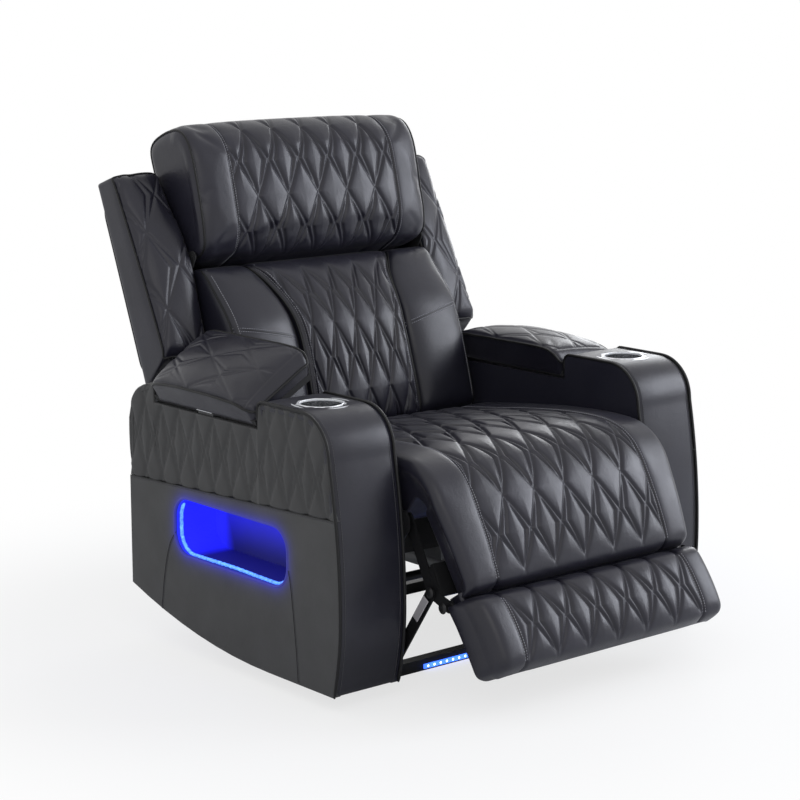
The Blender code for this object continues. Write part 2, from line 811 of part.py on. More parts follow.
def make_tray(name, side):
    """The storage tray under the lid, with the hinge knuckle on its flange."""
    low_x, high_x = ARM_INNER + PANEL + GAP, HALF - PANEL - GAP
    low_y, high_y = PLATEAU_END + TRAY_SEAT, LID_REAR - TRAY_SEAT - COVER
    floor = LID_SEAT - TRAY_DEPTH
    top = LID_SEAT + GAP + TRAY_FLANGE
    axis_x = HALF - HINGE_INSET
    axis_z = LID_BASE + HINGE_RISE
    x = span(side, low_x, high_x)
    body = box(f"{name}_storage_tray", (x[0], low_y, floor), (x[1], high_y, top - GAP))
    x = span(side, low_x + TRAY_WALL, high_x - TRAY_WALL)
    hollow = box(f"{name}_tray_hollow", (x[0], low_y + TRAY_WALL, floor + TRAY_WALL),
                 (x[1], high_y - TRAY_WALL, top + OVERRUN))
    x = span(side, low_x - LID_INSET, axis_x - HINGE_INSET - HINGE_RISE)
    flange = box(f"{name}_tray_flange", (x[0], PLATEAU_END + GAP, LID_SEAT + GAP), (x[1], LID_REAR - GAP,
                                                                                    top))
    middle = (PLATEAU_END + LID_REAR) / 2
    x = span(side, axis_x - HINGE_INSET - 2 * HINGE_RISE, axis_x)
    leaf = box(f"{name}_hinge_leaf", (x[0], middle - KNUCKLE_LENGTH / 2, LID_SEAT + GAP),
               (x[1], middle + KNUCKLE_LENGTH / 2, top))
    x = span(side, axis_x - KNUCKLE_RADIUS / 2, axis_x + KNUCKLE_RADIUS / 2)
    web = box(f"{name}_hinge_web", (x[0], middle - KNUCKLE_LENGTH / 2, LID_SEAT + GAP),
              (x[1], middle + KNUCKLE_LENGTH / 2, axis_z))
    knuckle = cylinder(f"{name}_hinge_knuckle", (side * axis_x, axis_z), KNUCKLE_RADIUS,
                       middle - KNUCKLE_LENGTH / 2, middle + KNUCKLE_LENGTH / 2, "y", SMALL_STEPS)
    mount(cut(weld(body, flange), hollow), "black_plastic")
    bore = cylinder(f"{name}_hinge_bore", (side * axis_x, axis_z), HINGE_PIN + PIN_CLEARANCE,
                    middle - KNUCKLE_LENGTH, middle + KNUCKLE_LENGTH, "y", SMALL_STEPS)
    cut(weld(body, leaf, web, knuckle), bore)


def make_cup_holder(name, middle):
    """A round cup under a scalloped ring on the arm's top."""
    top = ARM_TOP + GAP
    cup = cylinder(f"{name}_cup", (middle, CUP_PLACE), CUP_RADIUS, ARM_TOP - CUP_DEPTH, ARM_TOP, "z")
    hollow = cylinder(f"{name}_cup_hollow", (middle, CUP_PLACE), CUP_RADIUS - CUP_WALL,
                      ARM_TOP - CUP_DEPTH + CUP_WALL, ARM_TOP + OVERRUN, "z")
    mount(cut(cup, hollow), "chrome")
    ring = cylinder(f"{name}_cup_ring", (middle, CUP_PLACE), RING_RADIUS, top, top + RING_HEIGHT, "z",
                    2 * ROUND_STEPS)
    bore = cylinder(f"{name}_ring_bore", (middle, CUP_PLACE), RING_BORE, top - OVERRUN,
                    top + RING_HEIGHT + OVERRUN, "z", ROUND_STEPS)
    cut(ring, bore)
    for i in range(SCALLOPS):
        angle = math.pi / SCALLOPS + 2 * math.pi * i / SCALLOPS
        centre = (middle + SCALLOP_REACH * math.cos(angle), CUP_PLACE + SCALLOP_REACH * math.sin(angle))
        cut(ring, cylinder(f"{name}_scallop_{i}", centre, SCALLOP_RADIUS, top - OVERRUN,
                           top + RING_HEIGHT + OVERRUN, "z", SMALL_STEPS))
    mount(ring, "chrome")


def make_lid(label, side, opened):
    """A padded lid on its hinge at the arm's outer edge."""
    hinge = joint_frame(f"lid_{label}_hinge", (side * (HALF - HINGE_INSET), 0.0, LID_BASE + HINGE_RISE),
                        (0.0, side * opened, 0.0))
    front, rear = PLATEAU_END + LID_GAP, LID_REAR - LID_GAP
    low, high = span(side, -(ARM_WIDTH - HINGE_INSET), HINGE_INSET)
    board = box(f"lid_{label}_board", (low + LID_INSET, front + LID_INSET, -HINGE_RISE),
                (high - LID_INSET, rear - LID_INSET, -HINGE_RISE + LID_BOARD))
    base = -HINGE_RISE + LID_BOARD + GAP
    stations = []
    rows = 18
    for j in range(rows + 1):
        share = j / rows
        y = rear + (front - rear) * share
        nose = max(0.0, 1 - (y - front) / LID_NOSE)
        full = LID_END_SHARE + (1 - LID_END_SHARE) * round_ends(share, LID_ROUND_SHARE)
        height = LID_BOXING * (full - LID_NOSE_SHARE * nose * nose)
        stations.append(((y, base + height), (y, base), low, high))
    quilt = (ARM_WIDTH / 2 - 2 * EDGE_ROUND, BAND_DIAMOND_WIDTH, BAND_DIAMOND_HEIGHT, QUILT_DEPTH / 2)
    cushion = pad(f"lid_{label}_pad", stations, LID_CROWN, quilt, draw=SIDE_DRAW / 3)
    middle = (PLATEAU_END + LID_REAR) / 2
    notch = cylinder(f"lid_{label}_notch", (0.0, 0.0), HINGE_INSET + GAP + KNUCKLE_RADIUS / 4,
                     middle - KNUCKLE_LENGTH / 2 - GAP, middle + KNUCKLE_LENGTH / 2 + GAP, "y", SMALL_STEPS)
    hinge_pin = cylinder(f"lid_{label}_hinge_pin", (0.0, 0.0), HINGE_PIN, middle - HINGE_PIN_LENGTH / 2,
                         middle + HINGE_PIN_LENGTH / 2, "y", SMALL_STEPS)
    mount(weld(cut(board, notch), hinge_pin), "lined_board", hinge)
    mount(cushion, "leather", hinge)


# Seat and legrest places
HIP = (ROLL_Y, ROLL_Z)
LINK_FOOT = (ROLL_Y + LINK_BACK, ROLL_Z - LINK_DOWN)
BACK_PIVOT = (BACK_Y, BACK_Z)
TILT_PIVOT = (TILT_Y, TILT_Z)
LAYER_START = PAD_HALF_WIDTH + RUNNING_GAP
PLATE_OUTER = ARM_INNER - GAP
PLATE_INNER = PLATE_OUTER - PLATE
RAIL_TOP = PLATE_TOP - PLATE_MARGIN / 2
SPRING_TOP = RAIL_TOP + GAP + SPRING_WIRE
REAR_RAIL_Y = SEAT_REAR
RAIL_HALF = PLATE_INNER - GAP


def layer(index):
    """The stretch across the chair of one layer of the stacked bars."""
    low = LAYER_START + index * BAR_STEP
    return low, low + BAR


BRACKET_LAYER, CALF_LAYER, COUPLER_LAYER, LINK_LAYER = range(4)


def seat_top(y):
    """Height of the seat, which sags a little to the rear."""
    share = max(0.0, (y - ROLL_Y) / (SEAT_REAR - ROLL_Y))
    return ROLL_Z + ROLL_RADIUS - SEAT_SAG * share * share


def make_seat():
    """The seat frame, its springs and the quilted cushion with its round front."""
    for label, start in (("front", FRONT_RAIL_Y), ("rear", REAR_RAIL_Y)):
        tube = box(f"seat_rail_{label}", (-RAIL_HALF, start, RAIL_TOP - RAIL), (RAIL_HALF, start + RAIL,
                                                                                RAIL_TOP))
        bore = box(f"seat_rail_{label}_bore",
                   (-RAIL_HALF - OVERRUN, start + RAIL_WALL, RAIL_TOP - RAIL + RAIL_WALL),
                   (RAIL_HALF + OVERRUN, start + RAIL - RAIL_WALL, RAIL_TOP - RAIL_WALL))
        mount(cut(tube, bore), "black_steel")
    make_springs()
    base = SPRING_TOP + GAP
    stations = [((SEAT_REAR, seat_top(SEAT_REAR) - 2 * EDGE_ROUND), (SEAT_REAR, base))]
    count = 12
    for j in range(count):
        y = SEAT_REAR - EDGE_ROUND + (ROLL_Y - SEAT_REAR + EDGE_ROUND) * j / count
        stations.append(((y, seat_top(y)), (y, base)))
    flat = path_lengths([s[0] for s in stations])[-1]
    inner = ROLL_RADIUS - ROLL_THICKNESS
    for j in range(count + 1):
        angle = math.pi / 2 + ROLL_SWEEP * j / count
        run = (math.cos(angle), math.sin(angle))
        stations.append(((ROLL_Y + ROLL_RADIUS * run[0], ROLL_Z + ROLL_RADIUS * run[1]),
                         (ROLL_Y + inner * run[0], ROLL_Z + inner * run[1])))
    whole = path_lengths([s[0] for s in stations])[-1]
    stations = [(outer, under, -PAD_HALF_WIDTH, PAD_HALF_WIDTH) for outer, under in stations]
    quilt = (QUILT_HALF_WIDTH, DIAMOND_WIDTH, DIAMOND_HEIGHT, QUILT_DEPTH)
    mount(pad("seat_cushion", stations, SEAT_CROWN, quilt, crown_end_share=flat / whole), "leather")


def make_springs():
    """Zigzag seat springs between two clip bars on the rails."""
    low_z, high_z = RAIL_TOP + GAP, SPRING_TOP
    reach = PAD_HALF_WIDTH - SPRING_SWING
    deck = box("seat_springs", (-reach, FRONT_RAIL_Y, low_z), (reach, FRONT_RAIL_Y + RAIL / 2, high_z))
    weld(deck, box("spring_rear_bar", (-reach, REAR_RAIL_Y + RAIL / 2, low_z), (reach,
                                                                                REAR_RAIL_Y + RAIL, high_z)))
    start, end = FRONT_RAIL_Y + RAIL / 4, REAR_RAIL_Y + 3 * RAIL / 4
    turns = 2 * round((end - start) / SPRING_PITCH / 2)
    for i in range(SPRINGS):
        middle = reach * SPRING_SPREAD_SHARE * (2 * i / (SPRINGS - 1) - 1)
        path = []
        for j in range(turns + 1):
            swing = 0.0 if j in (0, turns) else SPRING_SWING * (-1) ** j
            path.append((middle + swing, start + (end - start) * j / turns))
        outline = offset_path(path, SPRING_WIRE / 2) + offset_path(path, -SPRING_WIRE / 2)[::-1]
        weld(deck, prism(f"spring_{i}", outline, low_z, high_z, "z"))
    mount(deck, "spring_steel")


def plate_outline():
    """A side plate round the hip, the link's foot, the tilt pivot and the back's pivot."""
    m = PLATE_MARGIN
    return [(HIP[0] - m, HIP[1]), (HIP[0] - m, HIP[1] - m), (LINK_FOOT[0] - m, LINK_FOOT[1]),
            (LINK_FOOT[0] - m, LINK_FOOT[1] - m), (TILT_Y - 3 * m, LINK_FOOT[1] - m), (TILT_Y - m,
                                                                                       TILT_Z - m),
            (TILT_Y + m, TILT_Z - m), (TILT_Y + 3 * m, LINK_FOOT[1] - m), (BACK_Y - 5 * m, BACK_Z - 4 * m),
            (BACK_Y + m, BACK_Z - m), (BACK_Y + m, BACK_Z + m), (HIP[0] + 6 * m, PLATE_TOP),
            (HIP[0] + m, HIP[1] + m), (HIP[0] - m / 2, HIP[1] + m)]


def make_side_plates():
    """The steel plates that carry the seat, the arms and every pivot."""
    for label, side in SIDES.items():
        stretch = span(side, PLATE_INNER, PLATE_OUTER)
        plate = prism(f"side_plate_{label}", plate_outline(), *stretch)
        holes = (("hip", HIP, PIVOT_RADIUS), ("link", LINK_FOOT, TUBE_RADIUS), ("tilt", TILT_PIVOT,
                                                                                TILT_RADIUS),
                 ("back", BACK_PIVOT, PIVOT_RADIUS))
        for what, centre, radius in holes:
            cut(plate, cylinder(f"side_plate_{label}_{what}_hole", centre, radius + PIN_CLEARANCE,
                                stretch[0] - OVERRUN, stretch[1] + OVERRUN, steps=SMALL_STEPS * 2))
        mount(plate, "black_steel")


def pin(name, side, centre, radius, low, high):
    """A pivot pin across the chair, given by how far out it starts and ends."""
    return cylinder(name, centre, radius, *span(side, low, high), steps=SMALL_STEPS * 2)


def make_calf(hip_frame):
    """The calf pad and its frame: a board and two bent bars that carry the footrest's pivots."""
    low, high = layer(CALF_LAYER)
    board = box("calf_frame", (-low - BAR / 2, -CALF_BOARD_END, CALF_INNER - GAP - BOARD),
                (low + BAR / 2, -CALF_BOARD_START, CALF_INNER - GAP))
    mount(board, "black_steel", hip_frame)
    foot = (-FOOT_PIVOT_ALONG, FOOT_PIVOT_OUT)
    knee = (-LINK_LENGTH, 0.0)
    for label, side in SIDES.items():
        stretch = span(side, low, high)
        tab = [(-CALF_BOARD_END + BAR, 0.0), (-CALF_BOARD_START - BAR, 0.0),
               (-CALF_BOARD_START - BAR, CALF_INNER - BOARD / 2), (-CALF_BOARD_END + BAR,
                                                                   CALF_INNER - BOARD / 2)]
        weld(board, prism(f"calf_bar_{label}", bent_bar([(0.0, 0.0), knee, foot], BAR_WIDTH), *stretch),
             prism(f"calf_tab_{label}", tab, *span(side, low + BAR / 8, high - BAR / 8)),
             pin(f"hip_pin_{label}", side, (0.0, 0.0), PIVOT_RADIUS, low + BAR / 2, PLATE_OUTER - GAP))
        for what, centre in (("foot", foot), ("knee", knee)):
            cut(board, cylinder(f"calf_{what}_hole_{label}", centre, PIVOT_RADIUS + PIN_CLEARANCE,
                                stretch[0] - BAR_STEP / 2, stretch[1] + BAR_STEP / 2, steps=SMALL_STEPS * 2))
    clear = ROLL_RADIUS + CALF_CLEARANCE
    rows = 24
    stations = []
    for j in range(rows + 1):
        share = j / rows
        along = CALF_START + (CALF_LENGTH - CALF_START) * share
        toe = max(0.0, (share - CALF_SHOULDER_SHARE) / (1 - CALF_SHOULDER_SHARE))
        shoulder = 1 - CALF_TOE_SHARE * toe * toe
        outer = CALF_INNER + (ROLL_RADIUS - CALF_INNER) * shoulder
        inner = max(CALF_INNER, math.sqrt(max(0.0, clear ** 2 - along ** 2)) + RUNNING_GAP)
        outer = max(outer, inner + EDGE_ROUND / 2)
        stations.append(((-along, outer), (-along, inner), -PAD_HALF_WIDTH, PAD_HALF_WIDTH))
    quilt = (QUILT_HALF_WIDTH, DIAMOND_WIDTH, DIAMOND_HEIGHT, QUILT_DEPTH)
    mount(pad("calf_pad", stations, CALF_CROWN, quilt, draw=SIDE_DRAW / 2), "leather", hip_frame)


def make_footrest(hip_frame):
    """The footrest pad on its board, hung from the calf frame's toes."""
    foot_frame = joint_frame("footrest_pivot", (0.0, -FOOT_PIVOT_ALONG, FOOT_PIVOT_OUT),
                             (FOOT_ANGLE - CALF_ANGLE, 0.0, 0.0), hip_frame)
    low, high = layer(BRACKET_LAYER)
    bottom, top = FOOT_STANDOFF - BOARD, FOOT_STANDOFF
    board = box("footrest_frame", (-low - BAR / 2, -FOOT_LENGTH + EDGE_ROUND, bottom),
                (low + BAR / 2, -EDGE_ROUND, top))
    mount(board, "black_steel", foot_frame)
    for label, side in SIDES.items():
        stretch = span(side, low, high)
        weld(board, prism(f"foot_bracket_{label}", slot_bar((0.0, 0.0), (-FOOT_LENGTH / 2, bottom),
                                                            BRACKET_WIDTH),
                          *stretch),
             pin(f"foot_pin_{label}", side, (0.0, 0.0), PIVOT_RADIUS, low + BAR / 2,
                 layer(CALF_LAYER)[1] + BAR_STEP / 8))
    rows = 8
    stations = []
    for j in range(rows + 1):
        share = j / rows
        along = FOOT_START + (FOOT_LENGTH - FOOT_START) * share
        thick = FOOT_THICKNESS * (FOOT_END_SHARE + (1 - FOOT_END_SHARE) * round_ends(share,
                                                                                     FOOT_ROUND_SHARE))
        stations.append(((-along, top + GAP + thick), (-along, top + GAP), -PAD_HALF_WIDTH, PAD_HALF_WIDTH))
    quilt = (QUILT_HALF_WIDTH, DIAMOND_WIDTH, DIAMOND_HEIGHT, QUILT_DEPTH)
    mount(pad("footrest_pad", stations, FOOT_CROWN, quilt, draw=SIDE_DRAW / 2), "leather", foot_frame)


def make_linkage():
    """The parallel links behind the calf frame, their cross tube and the struts up to its knees."""
    link_frame = joint_frame("drive_tube_pivot", (0.0, *LINK_FOOT), (CALF_ANGLE, 0.0, 0.0))
    tube = cylinder("drive_tube", (0.0, 0.0), TUBE_RADIUS, -PLATE_OUTER + GAP, PLATE_OUTER - GAP)
    mount(tube, "black_steel", link_frame)
    end = (-LINK_LENGTH, 0.0)
    coupler_frame = joint_frame("strut_pivot", (0.0, *end), (-CALF_ANGLE, 0.0, 0.0), link_frame)
    for label, side in SIDES.items():
        low, high = layer(LINK_LAYER)
        stretch = span(side, low, high)
        weld(tube, prism(f"drive_link_{label}", slot_bar((0.0, 0.0), end, BAR_WIDTH), *stretch))
        cut(tube, cylinder(f"drive_link_hole_{label}", end, PIVOT_RADIUS + PIN_CLEARANCE,
                           stretch[0] - BAR_STEP / 2, stretch[1] + BAR_STEP / 2, steps=SMALL_STEPS * 2))
        low, high = layer(COUPLER_LAYER)
        rise = (-LINK_BACK, LINK_DOWN)
        strut = prism(f"legrest_strut_{label}", slot_bar((0.0, 0.0), rise, BAR_WIDTH), *span(side, low,
                                                                                             high))
        weld(strut, pin(f"strut_foot_pin_{label}", side, (0.0, 0.0), PIVOT_RADIUS, low + BAR / 2,
                        layer(LINK_LAYER)[1] + BAR_STEP / 8),
             pin(f"strut_knee_pin_{label}", side, rise, PIVOT_RADIUS, layer(CALF_LAYER)[0] - BAR_STEP / 16,
                 low + BAR / 2))
        mount(strut, "black_steel", coupler_frame)
    crank = rotated((CRANK_LENGTH * math.sin(CRANK_TRAIL), -CRANK_LENGTH * math.cos(CRANK_TRAIL)),
                    -CALF_ANGLE)
    weld(tube, prism("drive_crank", slot_bar((0.0, 0.0), crank, BAR_WIDTH), LEGREST_ACTUATOR_X - BAR / 2,
                     LEGREST_ACTUATOR_X + BAR / 2))


def make_actuator(name, x, eye, direction, hang_y):
    """An electric actuator: a fixed tube with gearbox, motor and hanger, and the rod that slides in it."""
    y, z = eye
    rod_x = x + BAR / 2 + RUNNING_GAP + ROD_RADIUS
    frame = joint_frame(f"{name}_slide", (rod_x, y, z))
    rod = cylinder(f"{name}_rod", (0.0, 0.0), ROD_RADIUS, *sorted((0.0, direction * ROD_LENGTH)), axis="y",
                   steps=SMALL_STEPS)
    weld(rod, cylinder(f"{name}_eye", (0.0, 0.0), ROD_EYE, -ROD_RADIUS, ROD_RADIUS, steps=SMALL_STEPS * 2))
    mount(rod, "chrome", frame)
    start = hang_y + RAIL / 2 - direction * GEARBOX / 2
    mouth = y + direction * (ROD_LENGTH / 2)
    tube = cylinder(f"{name}_actuator", (rod_x, z), ACTUATOR_TUBE_RADIUS, *sorted((mouth, start)), axis="y")
    bore = cylinder(f"{name}_bore", (rod_x, z), ROD_RADIUS + RUNNING_GAP,
                    *sorted((mouth - direction * OVERRUN, start)), axis="y", steps=SMALL_STEPS)
    low, high = sorted((start, start + direction * GEARBOX))
    gearbox = box(f"{name}_gearbox", (rod_x - GEARBOX / 2, low, z - GEARBOX / 2),
                  (rod_x + GEARBOX / 2, high, z + GEARBOX / 2))
    motor = cylinder(f"{name}_motor", ((low + high) / 2, z), MOTOR_RADIUS, rod_x,
                     rod_x + GEARBOX / 2 + MOTOR_LENGTH)
    hanger = box(f"{name}_hanger", (rod_x - ROD_EYE, (low + high) / 2 - BAR, z),
                 (rod_x + ROD_EYE, (low + high) / 2 + BAR, RAIL_TOP - RAIL - GAP))
    cut(tube, bore)
    weld(tube, gearbox, motor, hanger)
    mount(tube, "grey_plastic")


def make_base():
    """The floor frame: two side rails with tilt uprights, a lit front rail and a rear rail."""
    outer = PLATE_INNER - GAP - RUNNING_GAP
    inner = outer - BASE_WIDTH
    rear = BASE_FRONT + BASE_LENGTH
    for label, side in SIDES.items():
        x = span(side, inner, outer)
        rail = box(f"base_rail_{label}", (x[0], BASE_FRONT, 0.0), (x[1], rear, BASE_HEIGHT))
        upright = [(TILT_Y - UPRIGHT_HALF, BASE_HEIGHT / 2), (TILT_Y + UPRIGHT_HALF, BASE_HEIGHT / 2),
                   (TILT_Y + PLATE_MARGIN, TILT_Z), (TILT_Y + PLATE_MARGIN / 2, TILT_Z + PLATE_MARGIN),
                   (TILT_Y - PLATE_MARGIN / 2, TILT_Z + PLATE_MARGIN), (TILT_Y - PLATE_MARGIN, TILT_Z)]
        weld(rail, prism(f"base_upright_{label}", upright, *span(side, outer - PLATE, outer - GAP)),
             pin(f"tilt_pin_{label}", side, TILT_PIVOT, TILT_RADIUS, outer - PLATE / 2, PLATE_OUTER - GAP))
        mount(rail, "black_steel")
    for label, start in (("front", BASE_FRONT), ("rear", rear - BASE_WIDTH)):
        rail = box(f"base_rail_{label}", (-inner + GAP, start, 0.0), (inner - GAP, start + BASE_WIDTH,
                                                                      BASE_HEIGHT))
        mount(rail, "black_steel")
    strip_low = (-STRIP_HALF, BASE_FRONT - GAP - STRIP_THICKNESS, STRIP_LIFT)
    mount(box("light_strip", strip_low, (STRIP_HALF, BASE_FRONT - GAP, STRIP_LIFT + STRIP_HEIGHT)),
          "blue_light")
    low = (INLET_OFFSET, rear + GAP, (BASE_HEIGHT - INLET_HEIGHT) / 2)
    inlet = box("power_inlet", low, (low[0] + INLET_WIDTH, low[1] + INLET_DEPTH, low[2] + INLET_HEIGHT))
    socket = cylinder("power_inlet_socket", (low[0] + INLET_WIDTH / 2, low[2] + INLET_HEIGHT / 2),
                      INLET_BORE,
                      low[1] + INLET_DEPTH / 3, low[1] + INLET_DEPTH + OVERRUN, "y", SMALL_STEPS)
    mount(cut(inlet, socket), "black_plastic")


def make_back(back_frame):
    """The back's board, rear cover, lumbar cushion, bolsters and wings."""
    low, high = layer(CALF_LAYER)
    front = BACK_FRAME_REAR + BACK_FRAME_THICKNESS
    half = low + BAR / 2
    outline = [(-half, -PLATE_MARGIN), (half, -PLATE_MARGIN), (half, LUMBAR_TOP), (-half, LUMBAR_TOP)]
    board = prism("back_frame", outline, -front, -BACK_FRAME_REAR, "y")
    slots = 4
    pitch = (LUMBAR_TOP - 2 * BACK_OPENING_MARGIN) / slots
    for i in range(slots):
        bottom = BACK_OPENING_MARGIN + pitch * (i + (1 - SLOT_SHARE) / 2)
        slot = rounded_box(-half + BACK_OPENING_MARGIN, half - BACK_OPENING_MARGIN, bottom,
                           bottom + pitch * SLOT_SHARE, pitch * SLOT_SHARE / 3, 2)
        cut(board, prism(f"back_slot_{i}", slot, -front - OVERRUN, -BACK_FRAME_REAR + OVERRUN, "y"))
    post = (-HEAD_PIVOT_OUT, HEAD_PIVOT_UP)
    middle = -BACK_FRAME_REAR - BACK_FRAME_THICKNESS / 2
    for label, side in SIDES.items():
        ear = [(-PLATE_MARGIN, -PLATE_MARGIN), (-BACK_FRAME_REAR, -PLATE_MARGIN), (-BACK_FRAME_REAR,
                                                                                   4 * PLATE_MARGIN),
               (-front, 4 * PLATE_MARGIN), (-PLATE_MARGIN, PLATE_MARGIN)]
        weld(board, prism(f"back_ear_{label}", ear, *span(side, low, high)),
             pin(f"back_pin_{label}", side, (0.0, 0.0), PIVOT_RADIUS, low + BAR / 2, PLATE_OUTER - GAP),
             prism(f"headrest_post_{label}", slot_bar((middle, LUMBAR_TOP - BAR_WIDTH), post, BAR_WIDTH),
                   *span(side, low + BAR / 8, high - BAR / 8)),
             box(f"batten_{label}", (span(side, BATTEN_PLACE, BATTEN_PLACE + BATTEN_WIDTH)[0],
                                     -BACK_FRAME_REAR - RUNNING_GAP, 0.0),
                 (span(side, BATTEN_PLACE, BATTEN_PLACE + BATTEN_WIDTH)[1], -WING_REAR, BATTEN_TOP)))
        cut(board, cylinder(f"headrest_hole_{label}", post, PIVOT_RADIUS + PIN_CLEARANCE,
                            *span(side, low - BAR_STEP / 2, high + BAR_STEP / 2), steps=SMALL_STEPS * 2))
    mount(board, "lined_board", back_frame)
    make_recline_lever(back_frame, -front)
    make_rear_cover(back_frame)
    make_back_cushions(back_frame, front + GAP)
    make_wings(back_frame)


def make_recline_lever(back_frame, board_front):
    """The steel lever under the back's board, which the recline actuator pushes."""
    top = -PLATE_MARGIN - GAP
    foot = box("recline_lever", (RECLINE_ACTUATOR_X - BAR_WIDTH, board_front, top - BAR),
               (RECLINE_ACTUATOR_X + BAR_WIDTH, -BACK_FRAME_REAR, top))
    heel = (board_front + BACK_FRAME_THICKNESS / 2, top - BAR / 2 - BAR_WIDTH / 2)
    lever = rotated((0.0, -RECLINE_LEVER), BACK_ANGLE)
    weld(foot, prism("recline_lever_arm", slot_bar(heel, lever, BAR_WIDTH), RECLINE_ACTUATOR_X - BAR / 2,
                     RECLINE_ACTUATOR_X + BAR / 2))
    mount(foot, "black_steel", back_frame)


def make_rear_cover(back_frame):
    """The upholstered panel that closes the back behind the wings."""
    low_half = PAD_HALF_WIDTH
    corner = REAR_CORNER / 2
    outline = [(-low_half, -PLATE_MARGIN), (low_half, -PLATE_MARGIN), (low_half, COVER_BOTTOM),
               (COVER_HALF_WIDTH, COVER_BOTTOM + RAIL)]
    for i in range(ARC_STEPS + 1):
        angle = math.pi / 2 * i / ARC_STEPS
        outline.append((COVER_HALF_WIDTH - corner + corner * math.cos(angle),
                        WING_TOP - EDGE_ROUND - corner + corner * math.sin(angle)))
    outline += [(-x, z) for x, z in reversed(outline[2:])]
    rear = WING_REAR - GAP
    cover = prism("back_rear_cover", outline, -rear, -rear + COVER_THICKNESS, "y")
    mount(cover, "side_leather", back_frame)


def lumbar_half(share):
    """Half width of the lumbar cushion, waisted below and broad at its top."""
    return LUMBAR_WAIST + (LUMBAR_SHOULDER - LUMBAR_WAIST) * ease(max(0.0, share - LUMBAR_WAIST_SHARE)
                                                                     / (1 - LUMBAR_WAIST_SHARE))


def make_back_cushions(back_frame, under):
    """The quilted lumbar cushion between two plain bolsters."""
    rows = 12
    lumbar = []
    bolsters = {"left": [], "right": []}
    for j in range(rows + 1):
        share = j / rows
        height = LUMBAR_BOTTOM + (LUMBAR_TOP - LUMBAR_BOTTOM) * share
        end = BACK_END_SHARE + (1 - BACK_END_SHARE) * round_ends(share, BACK_ROUND_SHARE)
        half = lumbar_half(share)
        reach = LUMBAR_FRONT + (LUMBAR_TOP_FRONT - LUMBAR_FRONT) * ease(share)
        reach = (reach + LUMBAR_BELLY * math.sin(math.pi * share)) * end
        lumbar.append(((-reach, height), (-under, height), -half, half))
        reach = (BOLSTER_FRONT + (BOLSTER_TOP_FRONT - BOLSTER_FRONT) * ease(share)) * end
        for label, side in SIDES.items():
            stretch = span(side, half + RUNNING_GAP, BACK_HALF_WIDTH)
            bolsters[label].append(((-reach, height), (-under, height), *stretch))
    quilt = (LUMBAR_SHOULDER, DIAMOND_WIDTH, DIAMOND_HEIGHT, QUILT_DEPTH)
    mount(waisted_pad("lumbar_cushion", lumbar, LUMBAR_BELLY, quilt), "leather", back_frame)
    for label, stations in bolsters.items():
        mount(pad(f"bolster_{label}", stations, BOLSTER_CROWN, draw=0.0, columns=6), "leather", back_frame)


def waisted_pad(name, stations, crown, quilt):
    """A quilted pad whose width changes along it, with its columns spread evenly."""
    widest = max(high - low for _, _, low, high in stations)
    straight = [(outer, inner, -widest / 2, widest / 2) for outer, inner, _, _ in stations]
    made = pad(name, straight, crown, quilt, draw=0.0)
    lows = [inner[1] for _, inner, _, _ in stations]
    for vertex in made.data.vertices:
        share = min(1.0, max(0.0, (vertex.co.z - lows[0]) / (lows[-1] - lows[0])))
        vertex.co.x *= lumbar_half(share) / (widest / 2)
    return made


def make_wings(back_frame):
    """The quilted wings beside the bolsters, above the arms."""
    rows = 12
    for label, side in SIDES.items():
        stations = []
        for j in range(rows + 1):
            share = j / rows
            end = WING_END_SHARE + (1 - WING_END_SHARE) * round_ends(max(share, 1 / 2), WING_ROUND_SHARE)
            front_height = WING_FRONT_BOTTOM + (WING_TOP - EDGE_ROUND / 2 - WING_FRONT_BOTTOM) * share
            rear_height = WING_REAR_BOTTOM + (WING_TOP - WING_REAR_BOTTOM) * share
            front = WING_FRONT_LOW + (WING_FRONT_HIGH - WING_FRONT_LOW) * share
            front = WING_REAR + (front - WING_REAR) * end
            stretch = span(side, BACK_HALF_WIDTH + RUNNING_GAP + BAR_STEP * 3, WING_HALF_WIDTH)
            stations.append(((-front, front_height), (-WING_REAR, rear_height), *stretch))
        low, high = stations[0][2:]
        quilt = ((high - low) / 2 - EDGE_ROUND, DIAMOND_WIDTH, DIAMOND_HEIGHT,
                 QUILT_DEPTH * WING_QUILT_SHARE)
        mount(pad(f"wing_{label}", stations, WING_CROWN, quilt, draw=SIDE_DRAW / 3), "leather", back_frame)


# Outline of the headrest in shares of its depth (rear to front) and height (bottom to top)
HEAD_OUTER_SHARES = ((0.3, 0.03), (0.6, 0.0), (0.8, 0.07), (0.9, 0.32), (1.0, 0.66), (0.99, 0.83), (0.9,
                                                                                                    0.93),
                     (0.54, 1.0), (0.1, 0.99))
HEAD_INNER_SHARES = ((0.0, 0.1), (0.0, 0.15), (0.0, 0.25), (0.0, 0.4), (0.0, 0.6), (0.0, 0.72), (0.0, 0.8),
                     (0.0, 0.87), (0.0, 0.94))


